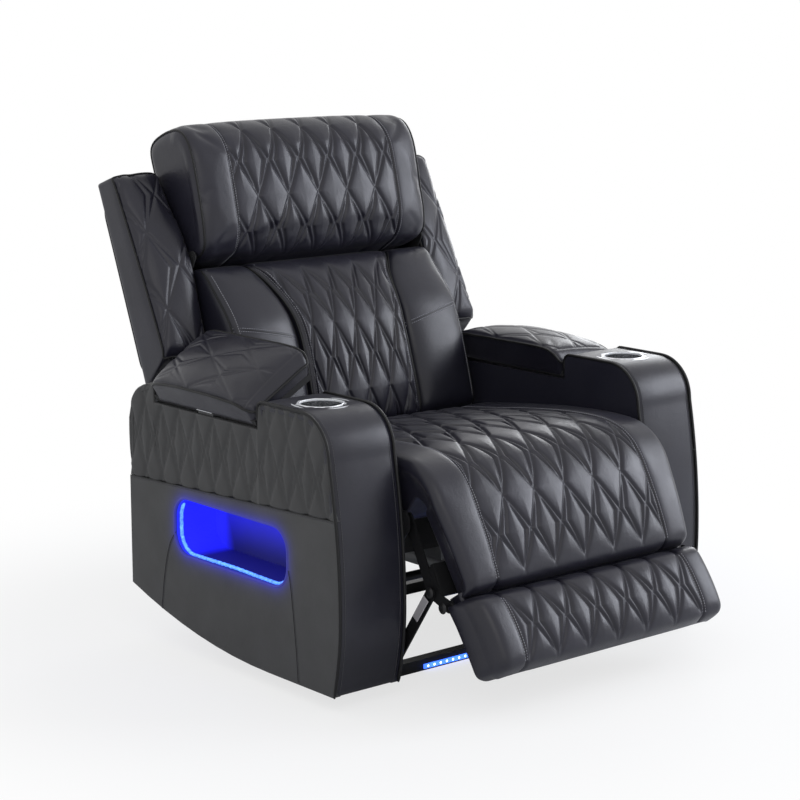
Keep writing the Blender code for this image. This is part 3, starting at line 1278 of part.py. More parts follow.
def make_headrest(back_frame):
    """The headrest pad on its board, hung on a rod at its foot."""
    pivot = joint_frame("headrest_pivot", (0.0, -HEAD_PIVOT_OUT, HEAD_PIVOT_UP), carrier=back_frame)
    rear = HEAD_REAR + HEAD_FRAME

    def spot(shares):
        out = rear + GAP + (HEAD_FRONT_HIGH - rear) * shares[0] - HEAD_PIVOT_OUT
        up = HEAD_BOTTOM + (HEAD_TOP - HEAD_BOTTOM) * shares[1] - HEAD_PIVOT_UP
        return (-out, up)

    outer = smooth_path([spot(s) for s in HEAD_OUTER_SHARES], 2)
    inner = smooth_path([spot(s) for s in HEAD_INNER_SHARES], 2)
    stations = [(o, i, -HEAD_HALF_WIDTH, HEAD_HALF_WIDTH) for o, i in zip(outer, inner)]
    half = HEAD_HALF_WIDTH - HEAD_BORDER
    quilt = (half, DIAMOND_WIDTH, DIAMOND_HEIGHT, QUILT_DEPTH)
    mount(pad("headrest_pad", stations, HEAD_CROWN, quilt, draw=SIDE_DRAW / 3), "leather", pivot)
    top = HEAD_TOP - HEAD_PIVOT_UP - 2 * EDGE_ROUND
    bottom = HEAD_BOTTOM - HEAD_PIVOT_UP + 3 * EDGE_ROUND
    low, high = layer(BRACKET_LAYER)
    reach = HEAD_HALF_WIDTH - EDGE_ROUND
    board = box("headrest_frame", (-reach, HEAD_PIVOT_OUT - rear, bottom), (reach,
                                                                            HEAD_PIVOT_OUT - HEAD_REAR, top))
    for label, side in SIDES.items():
        heel = (HEAD_PIVOT_OUT - rear + HEAD_FRAME / 2, bottom + BAR_WIDTH / 2)
        stretch = span(side, reach - BAR, low + BAR / 2)
        weld(board, box(f"headrest_tab_{label}",
                        (stretch[0], HEAD_PIVOT_OUT - rear + GAP, bottom + BAR_STEP),
                        (stretch[1], HEAD_PIVOT_OUT - HEAD_REAR - GAP, bottom + BAR_WIDTH - BAR_STEP)),
             prism(f"headrest_bracket_{label}", slot_bar(heel, (0.0, 0.0), HEAD_FRAME), *span(side, low,
                                                                                              high)),
             pin(f"headrest_pin_{label}", side, (0.0, 0.0), PIVOT_RADIUS, low + BAR / 2,
                 layer(CALF_LAYER)[1] + BAR_STEP / 8))
    mount(board, "lined_board", pivot)


def make_controls():
    """Two rocker switches in a plate on the left arm's inner face."""
    outer = ARM_INNER - GAP
    inner = outer - CONTROL_THICKNESS
    outline = rounded_box(CONTROL_Y, CONTROL_Y + CONTROL_LENGTH, CONTROL_Z - CONTROL_HEIGHT / 2,
                          CONTROL_Z + CONTROL_HEIGHT / 2, CONTROL_HEIGHT / 3, 4)
    plate = prism("control_plate", outline, *span(-1, inner, outer))
    mount(plate, "black_plastic")
    for name, share in (("recline", RECLINE_ROCKER_SHARE), ("headrest", HEADREST_ROCKER_SHARE)):
        middle = CONTROL_Y + CONTROL_LENGTH * share
        reach = ROCKER_LENGTH / 2 + ROCKER_GAP
        rise = ROCKER_HEIGHT / 2 + GAP
        hole = box(f"{name}_rocker_hole", (-outer - OVERRUN, middle - reach, CONTROL_Z - rise),
                   (-inner + OVERRUN, middle + reach, CONTROL_Z + rise))
        cut(plate, hole)
        frame = joint_frame(f"{name}_rocker_pivot", (-(inner + CONTROL_THICKNESS / 3), middle, CONTROL_Z))
        low = -CONTROL_THICKNESS / 3
        high = CONTROL_THICKNESS / 3 + ROCKER_PROUD
        dish = ROCKER_PROUD / 2
        outline = [(low, -ROCKER_LENGTH / 2), (high, -ROCKER_LENGTH / 2), (high - dish, 0.0), (high, ROCKER_LENGTH / 2),
                   (low, ROCKER_LENGTH / 2)]
        rocker = prism(f"{name}_rocker", outline, -ROCKER_HEIGHT / 2, ROCKER_HEIGHT / 2, "z")
        mount(rocker, "grey_plastic", frame)


hip = joint_frame("legrest_pivot", (0.0, *HIP), (CALF_ANGLE, 0.0, 0.0))
back = joint_frame("back_pivot", (0.0, *BACK_PIVOT), (-BACK_ANGLE, 0.0, 0.0))
crank_pin = (LINK_FOOT[0] + CRANK_LENGTH * math.sin(CRANK_TRAIL),
             LINK_FOOT[1] - CRANK_LENGTH * math.cos(CRANK_TRAIL))
lever_pin = (BACK_Y, BACK_Z - RECLINE_LEVER)

make_base()
make_side_plates()
make_seat()
make_linkage()
make_calf(hip)
make_footrest(hip)
make_actuator("legrest", LEGREST_ACTUATOR_X, crank_pin, 1, REAR_RAIL_Y)
make_actuator("recline", RECLINE_ACTUATOR_X, lever_pin, -1, FRONT_RAIL_Y)
for arm_label, arm_side in SIDES.items():
    make_arm(arm_label, arm_side)
make_lid("left", SIDES["left"], LID_OPEN_ANGLE)
make_lid("right", SIDES["right"], 0.0)
make_back(back)
make_headrest(back)
make_controls()

# The chair's origin is on the floor, under its middle
chair = joint_frame("chair", (0.0, -MIDDLE_Y, 0.0))
for obj in list(bpy.context.scene.objects):
    if obj.parent is None and obj is not chair:
        obj.parent = chair
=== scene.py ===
# %% [markdown]
# This lesson dresses a imported CAD model of a power recliner: quilted leather cushions, piping, stitching,
# lit storage niches and the steel linkage under the seat. The CAD model is the frame. It says where every
# piece sits and how it moves, so the first cell loads it.

# %% Load the frame
import math

import bmesh
import bpy
import numpy as np
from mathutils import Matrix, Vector
from mathutils.bvhtree import BVHTree


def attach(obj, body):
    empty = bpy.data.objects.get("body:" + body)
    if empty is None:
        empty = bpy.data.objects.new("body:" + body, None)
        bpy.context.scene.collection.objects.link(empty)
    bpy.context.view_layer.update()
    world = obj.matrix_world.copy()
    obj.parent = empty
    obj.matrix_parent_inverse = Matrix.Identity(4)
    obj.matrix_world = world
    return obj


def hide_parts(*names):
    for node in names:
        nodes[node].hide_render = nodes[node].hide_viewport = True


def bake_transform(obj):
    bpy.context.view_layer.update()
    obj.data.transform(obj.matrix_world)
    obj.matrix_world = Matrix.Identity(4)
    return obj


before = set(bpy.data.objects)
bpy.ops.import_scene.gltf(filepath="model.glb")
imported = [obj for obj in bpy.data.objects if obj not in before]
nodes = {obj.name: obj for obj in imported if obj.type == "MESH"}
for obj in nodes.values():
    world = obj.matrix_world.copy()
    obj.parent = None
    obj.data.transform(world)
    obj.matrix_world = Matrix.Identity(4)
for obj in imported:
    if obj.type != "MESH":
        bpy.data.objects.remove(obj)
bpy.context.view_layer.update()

# %% [markdown]
# The photograph was taken from the chair's front left, a little above the arms, with a long lens. A lens of
# about 98 mm on a 36 mm sensor, 4.7 m away, gives the same gentle perspective. The heading and the tilt are
# written as a rotation of the camera about X and then about Z.

# %% Camera
CAMERA_PLACE = (-2.9214, -3.3851, 1.3608)
CAMERA_HEADING = 40.17
CAMERA_TILT = 10.976
LENS = 98.26

camera_data = bpy.data.cameras.new("camera")
camera_data.lens = LENS
camera_data.sensor_width = 36.0
camera_data.sensor_fit = "HORIZONTAL"
camera_data.clip_end = 60.0
camera = bpy.data.objects.new("camera", camera_data)
camera.location = CAMERA_PLACE
camera.rotation_euler = (math.radians(90 - CAMERA_TILT), 0.0, math.radians(-CAMERA_HEADING))
bpy.context.scene.collection.objects.link(camera)
bpy.context.scene.camera = camera
print("camera at", CAMERA_PLACE, "lens", LENS)

# %% [markdown]
# Every finish is a node material. A small helper adds a node and joins its inputs, whether they are numbers
# or other nodes, so that a pattern reads like a sum. Colours are in linear light, which is what Blender's
# shaders take: a dark charcoal leather is only about 5 percent bright.

# %% Helpers for materials


def node(tree, kind, inputs=(), **settings):
    """A node with its settings, and its inputs given by name or place as numbers or other nodes' outputs."""
    made = tree.nodes.new(kind)
    for key, value in settings.items():
        setattr(made, key, value)
    for key, value in dict(inputs).items():
        if isinstance(value, bpy.types.NodeSocket):
            tree.links.new(value, made.inputs[key])
        else:
            made.inputs[key].default_value = value
    return made


def maths(tree, operation, first, second=0.0, third=0.0):
    """The output of one Math node."""
    return node(tree, "ShaderNodeMath", {0: first, 1: second, 2: third}, operation=operation).outputs[0]


def finish(name, colour, roughness, metallic=0.0, sheen=0.0, gleam=0.5):
    """An empty Principled material: its tree, its shader and its Object coordinates."""
    made = bpy.data.materials.new(name)
    made.use_nodes = True
    made.diffuse_color = (*colour, 1.0)
    tree = made.node_tree
    shader = tree.nodes["Principled BSDF"]
    shader.inputs["Base Color"].default_value = (*colour, 1.0)
    shader.inputs["Roughness"].default_value = roughness
    shader.inputs["Metallic"].default_value = metallic
    shader.inputs["Sheen Weight"].default_value = sheen
    shader.inputs["Sheen Roughness"].default_value = 0.4
    shader.inputs["Specular IOR Level"].default_value = gleam
    place = node(tree, "ShaderNodeTexCoord").outputs["Object"]
    return made, tree, shader, place


def mottled(tree, place, colour, scale, amount):
    """A colour that drifts a little lighter and darker over the surface."""
    noise = node(tree, "ShaderNodeTexNoise", {"Vector": place, "Scale": scale, "Detail": 4.0, "Roughness": 0.55})
    ramp = node(tree, "ShaderNodeValToRGB", {"Fac": noise.outputs["Fac"]})
    low, high = ramp.color_ramp.elements
    low.position = 0.3
    high.position = 0.7
    low.color = (*[c * (1 - amount) for c in colour], 1.0)
    high.color = (*[c * (1 + amount) for c in colour], 1.0)
    return ramp.outputs["Color"]


# %% [markdown]
# A product photograph is lit by large soft lamps in a white room. The white room is the world: it is plain
# white where the camera, a mirror or glass sees it, and dimmer where it lights the leather. Three area lamps
# then shape the chair: a cool key from the front right, a weak warm fill from the front left, and a rim light
# from the rear right.

# %% World and lamps
WORLD_LIGHT = 0.75
WORLD_COLOUR = (0.95, 0.97, 1.0, 1.0)
PLAIN_WHITE = (1.0, 1.0, 1.0, 1.0)
LAMPS = (
    ("key", (3.6, -2.3, 2.1), (0.0, -0.1, 0.55), 2.2, 2.4, 118.0, (0.87, 0.905, 1.0)),
    ("fill", (-2.6, -2.6, 2.9), (0.0, 0.0, 0.5), 2.2, 1.8, 14.0, (1.0, 0.985, 0.96)),
    ("rim", (3.2, 1.7, 1.5), (0.0, 0.0, 0.5), 1.2, 2.2, 32.0, (0.95, 0.97, 1.0)),
)

world = bpy.data.worlds.new("white_room")
world.use_nodes = True
bpy.context.scene.world = world
tree = world.node_tree
tree.nodes.clear()
rays = node(tree, "ShaderNodeLightPath").outputs
mirrored = maths(tree, "MAXIMUM", rays["Is Glossy Ray"], rays["Is Transmission Ray"])
clear = maths(tree, "MAXIMUM", rays["Is Camera Ray"], mirrored)
lighting = node(tree, "ShaderNodeBackground", {"Color": WORLD_COLOUR, "Strength": WORLD_LIGHT})
seen = node(tree, "ShaderNodeBackground", {"Color": PLAIN_WHITE, "Strength": 1.0})
choose = node(tree, "ShaderNodeMixShader", {0: clear, 1: lighting.outputs[0], 2: seen.outputs[0]})
node(tree, "ShaderNodeOutputWorld", {0: choose.outputs[0]})
bpy.context.scene.view_settings.view_transform = "Standard"

for name, place, aim, wide, high, watts, colour in LAMPS:
    lamp_data = bpy.data.lights.new(name, "AREA")
    lamp_data.shape = "RECTANGLE"
    lamp_data.size = wide
    lamp_data.size_y = high
    lamp_data.energy = watts
    lamp_data.color = colour
    lamp = bpy.data.objects.new(name, lamp_data)
    lamp.location = place
    lamp.rotation_euler = (Vector(aim) - Vector(place)).to_track_quat("-Z", "Y").to_euler()
    bpy.context.scene.collection.objects.link(lamp)
print("lamps", [lamp[0] for lamp in LAMPS])

# %% [markdown]
# Upholstery leather has three scales of detail. Pebbled grain about a millimetre across comes from a Voronoi
# texture, soft creases come from stretched noise, and the gloss changes a little from place to place where
# hands have polished it. Edges that stand proud wear lighter, which the Pointiness output finds.

# %% Leather
GRAIN_SCALE = 900.0
GRAIN_DEPTH = 0.25
CREASE_SCALE = 38.0
LEATHER_SHEEN = 0.02
SIDE_COLOUR = (0.032, 0.032, 0.0325)
SIDE_ROUGHNESS = 0.52


def leather(name, colour, roughness, crease=0.15, gleam=0.4):
    """Semi-gloss upholstery leather."""
    made, tree, shader, place = finish(name, colour, roughness, sheen=LEATHER_SHEEN, gleam=gleam)
    base = mottled(tree, place, colour, 9.0, 0.16)
    edge = node(tree, "ShaderNodeNewGeometry").outputs["Pointiness"]
    worn = node(tree, "ShaderNodeMapRange", {"Value": edge, "From Min": 0.52, "From Max": 0.6, "To Max": 0.3})
    lighter = node(tree, "ShaderNodeMix", {"Factor": worn.outputs["Result"], 6: base,
                                           7: (*[min(1.0, c * 2.2 + 0.01) for c in colour], 1.0)},
                   data_type="RGBA")
    tree.links.new(lighter.outputs[2], shader.inputs["Base Color"])
    pebbles = node(tree, "ShaderNodeTexVoronoi", {"Vector": place, "Scale": GRAIN_SCALE}, feature="SMOOTH_F1")
    folds = node(tree, "ShaderNodeTexNoise", {"Vector": place, "Scale": CREASE_SCALE, "Detail": 5.0,
                                              "Roughness": 0.6, "Distortion": 1.2})
    polish = node(tree, "ShaderNodeTexNoise", {"Vector": place, "Scale": 14.0, "Detail": 3.0})
    gloss = node(tree, "ShaderNodeMapRange", {"Value": polish.outputs["Fac"], "From Min": 0.3, "From Max": 0.7,
                                              "To Min": roughness - 0.05, "To Max": roughness + 0.07})
    tree.links.new(gloss.outputs["Result"], shader.inputs["Roughness"])
    fine = node(tree, "ShaderNodeBump", {"Height": pebbles.outputs["Distance"], "Strength": GRAIN_DEPTH,
                                         "Distance": 0.0006})
    soft = node(tree, "ShaderNodeBump", {"Height": folds.outputs["Fac"], "Strength": crease, "Distance": 0.0025,
                                         "Normal": fine.outputs["Normal"]})
    tree.links.new(soft.outputs["Normal"], shader.inputs["Normal"])
    return made


# The blue tint of the quilted and plain leathers is painted cool light, the tint the cool key gives the chair's
# front faces. Their dark tone is the leather's own, and the side leather is left neutral.
QUILT_LEATHER = leather("quilted_leather", (0.013, 0.0125, 0.0205), 0.33)
PLAIN_LEATHER = leather("plain_leather", (0.0112, 0.011, 0.0185), 0.33, crease=0.12)
SIDE_LEATHER = leather("side_leather", SIDE_COLOUR, SIDE_ROUGHNESS)
PIPING_LEATHER = leather("piping_leather", (0.003, 0.003, 0.0035), 0.45, crease=0.2, gleam=0.3)
print("leathers made")

# %% [markdown]
# The other finishes are simpler: powder-coated steel with a fine orange-peel bump, brushed or polished metal,
# moulded plastic with a faint texture, sewing thread with a twist, and the blue lights, which are emission.

# %% Metals, plastics, thread and lights


def speckled(name, colour, roughness, metallic=0.0, scale=600.0, bump=0.15, drift=0.1):
    """A hard finish with a fine bump and slightly uneven gloss."""
    made, tree, shader, place = finish(name, colour, roughness, metallic)
    tree.links.new(mottled(tree, place, colour, 22.0, drift), shader.inputs["Base Color"])
    grain = node(tree, "ShaderNodeTexNoise", {"Vector": place, "Scale": scale, "Detail": 3.0})
    rough = node(tree, "ShaderNodeMapRange", {"Value": grain.outputs["Fac"], "From Min": 0.3, "From Max": 0.7,
                                              "To Min": max(0.03, roughness - 0.06), "To Max": roughness + 0.08})
    tree.links.new(rough.outputs["Result"], shader.inputs["Roughness"])
    peel = node(tree, "ShaderNodeBump", {"Height": grain.outputs["Fac"], "Strength": bump, "Distance": 0.0006})
    tree.links.new(peel.outputs["Normal"], shader.inputs["Normal"])
    return made


def glowing(name, colour, strength, scale=40.0, drift=0.25):
    """A lit plastic whose light varies a little along it."""
    made, tree, shader, place = finish(name, colour, 0.4)
    glow = mottled(tree, place, colour, scale, drift)
    tree.links.new(glow, shader.inputs["Base Color"])
    tree.links.new(glow, shader.inputs["Emission Color"])
    shader.inputs["Emission Strength"].default_value = strength
    return made


BLACK_STEEL = speckled("powder_coated_steel", (0.011, 0.011, 0.012), 0.42, 0.4)
SPRING_STEEL = speckled("spring_steel", (0.32, 0.33, 0.35), 0.32, 1.0, drift=0.2)
ZINC = speckled("bare_zinc", (0.5, 0.48, 0.5), 0.5, 0.6, drift=0.06)
CHROME = speckled("brushed_chrome", (0.78, 0.79, 0.81), 0.16, 1.0, scale=250.0, bump=0.05, drift=0.04)
GREY_PLASTIC = speckled("grey_plastic", (0.16, 0.165, 0.175), 0.45)
BLACK_PLASTIC = speckled("black_plastic", (0.018, 0.018, 0.02), 0.38)
LINING = speckled("lining_cloth", (0.009, 0.009, 0.01), 0.85, scale=1400.0, bump=0.5, drift=0.2)
SILVER = speckled("satin_silver", (0.86, 0.87, 0.89), 0.3, 0.35, bump=0.05, drift=0.03)
THREAD = speckled("sewing_thread", (0.26, 0.26, 0.29), 0.6, scale=1500.0, bump=0.4)
DARK_THREAD = speckled("dark_thread", (0.06, 0.06, 0.066), 0.6, scale=1500.0, bump=0.4)
BLUE_LIGHT = glowing("blue_light", (0.05, 0.16, 1.0), 2.2)
WHITE_LIGHT = glowing("white_light", (0.75, 0.88, 1.0), 3.0)
print("hard finishes made")

# %% [markdown]
# The chair stands on a plain pale floor. Near the chair the floor is matt and takes its shadow, and the
# colour that the camera sees is lifted to white further out, so that floor and background meet unseen.

# %% Floor
FLOOR_SIZE = 14.0
FLOOR_COLOUR = 0.86
FLOOR_GLOW = (0.28, 0.72)
SHADOW_REACH = (0.75, 1.5)

bpy.ops.mesh.primitive_grid_add(x_subdivisions=8, y_subdivisions=8, size=FLOOR_SIZE)
floor = bpy.context.object
floor.name = "floor"
floor_finish, tree, shader, place = finish("pale_floor", (FLOOR_COLOUR,) * 3, 0.75)
shader.inputs["Specular IOR Level"].default_value = 0.2
length = node(tree, "ShaderNodeVectorMath", {0: place}, operation="LENGTH").outputs["Value"]
far = node(tree, "ShaderNodeMapRange", {"Value": length, "From Min": SHADOW_REACH[0], "From Max": SHADOW_REACH[1]},
           interpolation_type="SMOOTHSTEP").outputs["Result"]
rays = node(tree, "ShaderNodeLightPath")
lift = maths(tree, "MULTIPLY", maths(tree, "MULTIPLY_ADD", far, *FLOOR_GLOW), rays.outputs["Is Camera Ray"])
white = node(tree, "ShaderNodeEmission", {"Color": PLAIN_WHITE, "Strength": 1.0})
blend_floor = node(tree, "ShaderNodeMixShader", {0: lift, 1: shader.outputs[0], 2: white.outputs[0]})
tree.links.new(blend_floor.outputs[0], tree.nodes["Material Output"].inputs["Surface"])
floor.data.materials.append(floor_finish)
print("floor", FLOOR_SIZE, "m")

# %% [markdown]
# All the shapes below are worked out in the chair's side view: y runs from the front of the arms to the rear
# and z is up. The CAD model keeps its origin under its middle, so one helper shifts y when a mesh is made.

# %% A mesh from points
MIDDLE_Y = 0.31
HALF_WIDTH = 0.49
ARM_WIDTH = 0.16
SIDES = {"left": -1, "right": 1}


def mesh_piece(name, points, faces, material, smooth=True):
    """A mesh object from points in the side view's frame, with its faces turned outwards."""
    points = np.asarray(points, float).reshape(-1, 3) - (0.0, MIDDLE_Y, 0.0)
    mesh = bpy.data.meshes.new(name)
    mesh.from_pydata(points.tolist(), [], faces)
    shape = bmesh.new()
    shape.from_mesh(mesh)
    bmesh.ops.recalc_face_normals(shape, faces=shape.faces[:])
    shape.to_mesh(mesh)
    shape.free()
    if smooth:
        mesh.shade_smooth()
    mesh.materials.append(material)
    piece = bpy.data.objects.new(name, mesh)
    bpy.context.scene.collection.objects.link(piece)
    return piece


print("chair", 2 * HALF_WIDTH, "m wide")

# %% [markdown]
# Piping and seams are tubes. A ring of points is carried along a path and kept square to it, without twist,
# and neighbouring rings are joined with four-sided faces. An open tube narrows at its two ends.

# %% Tubes
TUBE_END = 0.55


def ring_faces(rings, sides, closed=False):
    """Faces between neighbouring rings of points, with a lid on each end of an open row of rings."""
    faces = []
    for i in range(rings if closed else rings - 1):
        for k in range(sides):
            a, b = i * sides + k, i * sides + (k + 1) % sides
            c, d = ((i + 1) % rings) * sides + (k + 1) % sides, ((i + 1) % rings) * sides + k
            faces.append((a, b, c, d))
    if not closed:
        faces.append(tuple(range(sides))[::-1])
        faces.append(tuple(range((rings - 1) * sides, rings * sides)))
    return faces


def tube_arrays(path, radius, sides, closed=False):
    """Points and faces of a tube along a path."""
    path = np.asarray(path, float)
    count = len(path)
    runs = np.roll(path, -1, 0) - np.roll(path, 1, 0) if closed else np.gradient(path, axis=0)
    runs /= np.linalg.norm(runs, axis=1, keepdims=True)
    side = np.cross(runs[0], (0.0, 0.0, 1.0))
    if np.linalg.norm(side) < 0.1:
        side = np.cross(runs[0], (1.0, 0.0, 0.0))
    side /= np.linalg.norm(side)
    rings = []
    angles = np.arange(sides) * 2 * math.pi / sides
    for i in range(count):
        side = side - runs[i] * side.dot(runs[i])
        side /= np.linalg.norm(side)
        up = np.cross(side, runs[i])
        reach = radius
        if not closed and i in (0, count - 1):
            reach = radius * TUBE_END
        rings.append(path[i] + reach * (np.outer(np.cos(angles), side) + np.outer(np.sin(angles), up)))
    return np.concatenate(rings), ring_faces(count, sides, closed)


def tubes(name, paths, radius, material, sides=8, closed=False):
    """Several tubes as one mesh."""
    points, faces = [], []
    start = 0
    for path in paths:
        ring, quads = tube_arrays(path, radius, sides, closed)
        points.append(ring)
        faces += [tuple(v + start for v in quad) for quad in quads]
        start += len(ring)
    return mesh_piece(name, np.concatenate(points), faces, material)


def tube(name, path, radius, material, sides=8, closed=False):
    """A tube along a path."""
    return tubes(name, [path], radius, material, sides, closed)


print("tube ends at", TUBE_END, "of the radius")

# %% [markdown]
# Paths are drawn through a few points as a smooth curve, and then cut into even steps, so that the faces along
# a tube and the stitches along a seam come out the same length everywhere.

# %% Curves
CURVE_SPANS = 8


def resample(path, step):
    """A path with its points an even step apart."""
    path = np.asarray(path, float)
    lengths = np.concatenate([[0.0], np.cumsum(np.linalg.norm(np.diff(path, axis=0), axis=1))])
    count = max(2, int(round(lengths[-1] / step)))
    at = np.linspace(0.0, lengths[-1], count + 1)
    return np.stack([np.interp(at, lengths, path[:, k]) for k in range(path.shape[1])], axis=1)


def curve_span(a, b, c, d, spans):
    """Points from b towards c on the smooth curve through four neighbours."""
    return [[0.5 * (2 * q + (r - p) * t + (2 * p - 5 * q + 4 * r - s) * t * t + (3 * q - p - 3 * r + s) * t ** 3)
             for p, q, r, s in zip(a, b, c, d)] for t in (i / spans for i in range(spans))]


def smooth_curve(points, spans=CURVE_SPANS):
    """A smooth curve through a few points."""
    ends = [points[0], *points, points[-1]]
    path = []
    for a, b, c, d in zip(ends, ends[1:], ends[2:], ends[3:]):
        path += curve_span(a, b, c, d, spans)
    path.append(list(points[-1]))
    return np.array(path)


def closed_curve(points, step):
    """A smooth closed loop with its points an even step apart."""
    count = len(points)
    path = []
    for i in range(count):
        path += curve_span(*(points[(i + k) % count] for k in (-1, 0, 1, 2)), CURVE_SPANS)
    path.append(path[0])
    return resample(path, step)[:-1]


def smooth_path(path, times=3):
    """A path with its small wobbles averaged out."""
    path = np.array(path)
    for _ in range(times):
        path[1:-1] = (path[:-2] + 2 * path[1:-1] + path[2:]) / 4
    return path


print("curves have", CURVE_SPANS, "spans between points")

# %% [markdown]
# A machine stitch is a short bead of thread that dips into the leather at both ends. A row of them is one mesh
# of small tubes, a little shorter than the pitch, so that the gaps between the stitches show.

# %% Stitches
STITCH_PITCH = 0.0052
STITCH_LENGTH = 0.0036
STITCH_RADIUS = 0.0008
STITCH_SIDES = 5
STITCH_BENDS = (-0.5, -0.2, 0.2, 0.5)


def stitches(name, paths, material=THREAD):
    """Rows of short stitches along paths, as one mesh."""
    points, faces = [], []
    for path in paths:
        spots = resample(path, STITCH_PITCH)
        for a, b in zip(spots, spots[1:]):
            run = (b - a) / max(1e-9, np.linalg.norm(b - a))
            bead = [(a + b) / 2 + run * STITCH_LENGTH * k for k in STITCH_BENDS]
            ring, quads = tube_arrays(bead, STITCH_RADIUS, STITCH_SIDES)
            start = len(ring) * len(points)
            points.append(ring)
            faces += [tuple(v + start for v in quad) for quad in quads]
    return mesh_piece(name, np.concatenate(points), faces, material)


print("stitch pitch", STITCH_PITCH)

# %% [markdown]
# A cushion is two curved sheets, the skin and the underside, joined round their rims by walls. Each point
# remembers where it lies across and along the skin, as the cover's flat cutting pattern would. The quilting
# and the seams are drawn on that pattern later, so they follow the cover however it bends.

# %% Cushion builder
PATTERNS = {}


def cushion(name, skin, under, across, along, material, walls=4, tuck=0.0):
    """A closed cushion between a skin and an underside, each a rows by columns array of points."""
    rows, columns = skin.shape[:2]
    PATTERNS[name] = (skin.copy(), under - skin)
    index = np.arange(rows * columns).reshape(rows, columns)
    faces = []
    for layer, flip in ((index, False), (index + rows * columns, True)):
        a, b, c, d = layer[:-1, :-1], layer[:-1, 1:], layer[1:, 1:], layer[1:, :-1]
        quads = np.stack([a, b, c, d] if not flip else [a, d, c, b], axis=-1).reshape(-1, 4)
        faces += [tuple(map(int, q)) for q in quads]
    rim = np.concatenate([index[0, :-1], index[:-1, -1], index[-1, :0:-1], index[:0:-1, 0]])
    skin_flat, under_flat = skin.reshape(-1, 3), under.reshape(-1, 3)
    points = [skin_flat, under_flat]
    middle = skin_flat[rim].mean(0)
    rings = [rim]
    count = 2 * rows * columns
    for k in range(1, walls):
        share = k / walls
        ring = skin_flat[rim] * (1 - share) + under_flat[rim] * share
        inward = (middle - ring) * (1.0, 0.0, 0.0)
        inward /= np.maximum(np.linalg.norm(inward, axis=1, keepdims=True), 1e-9)
        ring = ring + inward * tuck * math.sin(math.pi * share)
        points.append(ring)
        rings.append(np.arange(count, count + len(rim)))
        count += len(rim)
    rings.append(rim + rows * columns)
    for upper, lower in zip(rings, rings[1:]):
        for i in range(len(rim)):
            j = (i + 1) % len(rim)
            faces.append((int(upper[j]), int(upper[i]), int(lower[i]), int(lower[j])))
    piece = mesh_piece(name, np.concatenate(points), faces, material)
    skin_share = np.zeros(count)
    skin_share[:rows * columns] = 1.0
    pattern = {key: np.concatenate([flat, flat, np.tile(flat[rim], walls - 1)])
               for key, flat in (("across", np.ravel(across)), ("along", np.ravel(along)))}
    return remember(piece, **pattern, skin=skin_share)


print("cushion builder ready")

# %% [markdown]
# A mesh keeps its numbers in long lists, one for each property. These small helpers read such a list into an
# array and write it back, and turn a piece's modifiers into real geometry.

# %% Helpers for mesh data


def remember(piece, **properties):
    """Keep named values on a mesh, one for each point."""
    for key, values in properties.items():
        piece.data.attributes.new(key, "FLOAT", "POINT").data.foreach_set("value", values.astype(np.float32))
    return piece


def values_of(piece, key):
    """One attribute of a mesh as an array."""
    data = piece.data.attributes[key].data
    made = np.zeros(len(data), np.float32)
    data.foreach_get("value", made)
    return made


def points_of(piece):
    """A mesh's points as an array."""
    made = np.zeros(len(piece.data.vertices) * 3)
    piece.data.vertices.foreach_get("co", made)
    return made.reshape(-1, 3)


def move_points(piece, points):
    """Write a mesh's points back."""
    piece.data.vertices.foreach_set("co", np.asarray(points, float).ravel())
    piece.data.update()


def settle(piece):
    """Apply a piece's modifiers to its mesh."""
    evaluated = piece.evaluated_get(bpy.context.evaluated_depsgraph_get())
    settled = bpy.data.meshes.new_from_object(evaluated)
    piece.modifiers.clear()
    old = piece.data
    piece.data = settled
    bpy.data.meshes.remove(old)
    settled.name = piece.name
    return piece


def refine(piece, levels=2):
    """Round a piece with subdivision and apply it."""
    step = piece.modifiers.new("round", "SUBSURF")
    step.levels = levels
    step.render_levels = levels
    return settle(piece)


print("mesh helpers ready")

# %% [markdown]
# Real padding pushes its cover out until the leather pulls back. Blender's cloth does the same: the cover
# becomes cloth, the underside and the seams are held, and a gentle pressure blows it up for twenty frames.
# The reach is capped, because a seat that balloons would no longer fit between its arms.

# %% Cloth
CLOTH_FRAMES = 20
PRESSURE = 4.0
STIFFNESS = 18.0
SEAM_HOLD = 0.9
GRID_STEP = 0.008


def held_share(piece, seam=None):
    """1 where a cover is held and 0 on its free skin, with the seams at a place across it nearly held."""
    held = np.where(values_of(piece, "skin") > 0.5, 0.0, 1.0)
    if seam is not None:
        beside = np.abs(np.abs(values_of(piece, "across")) - seam) < GRID_STEP / 2
        held = np.where(beside, SEAM_HOLD, held)
    return held


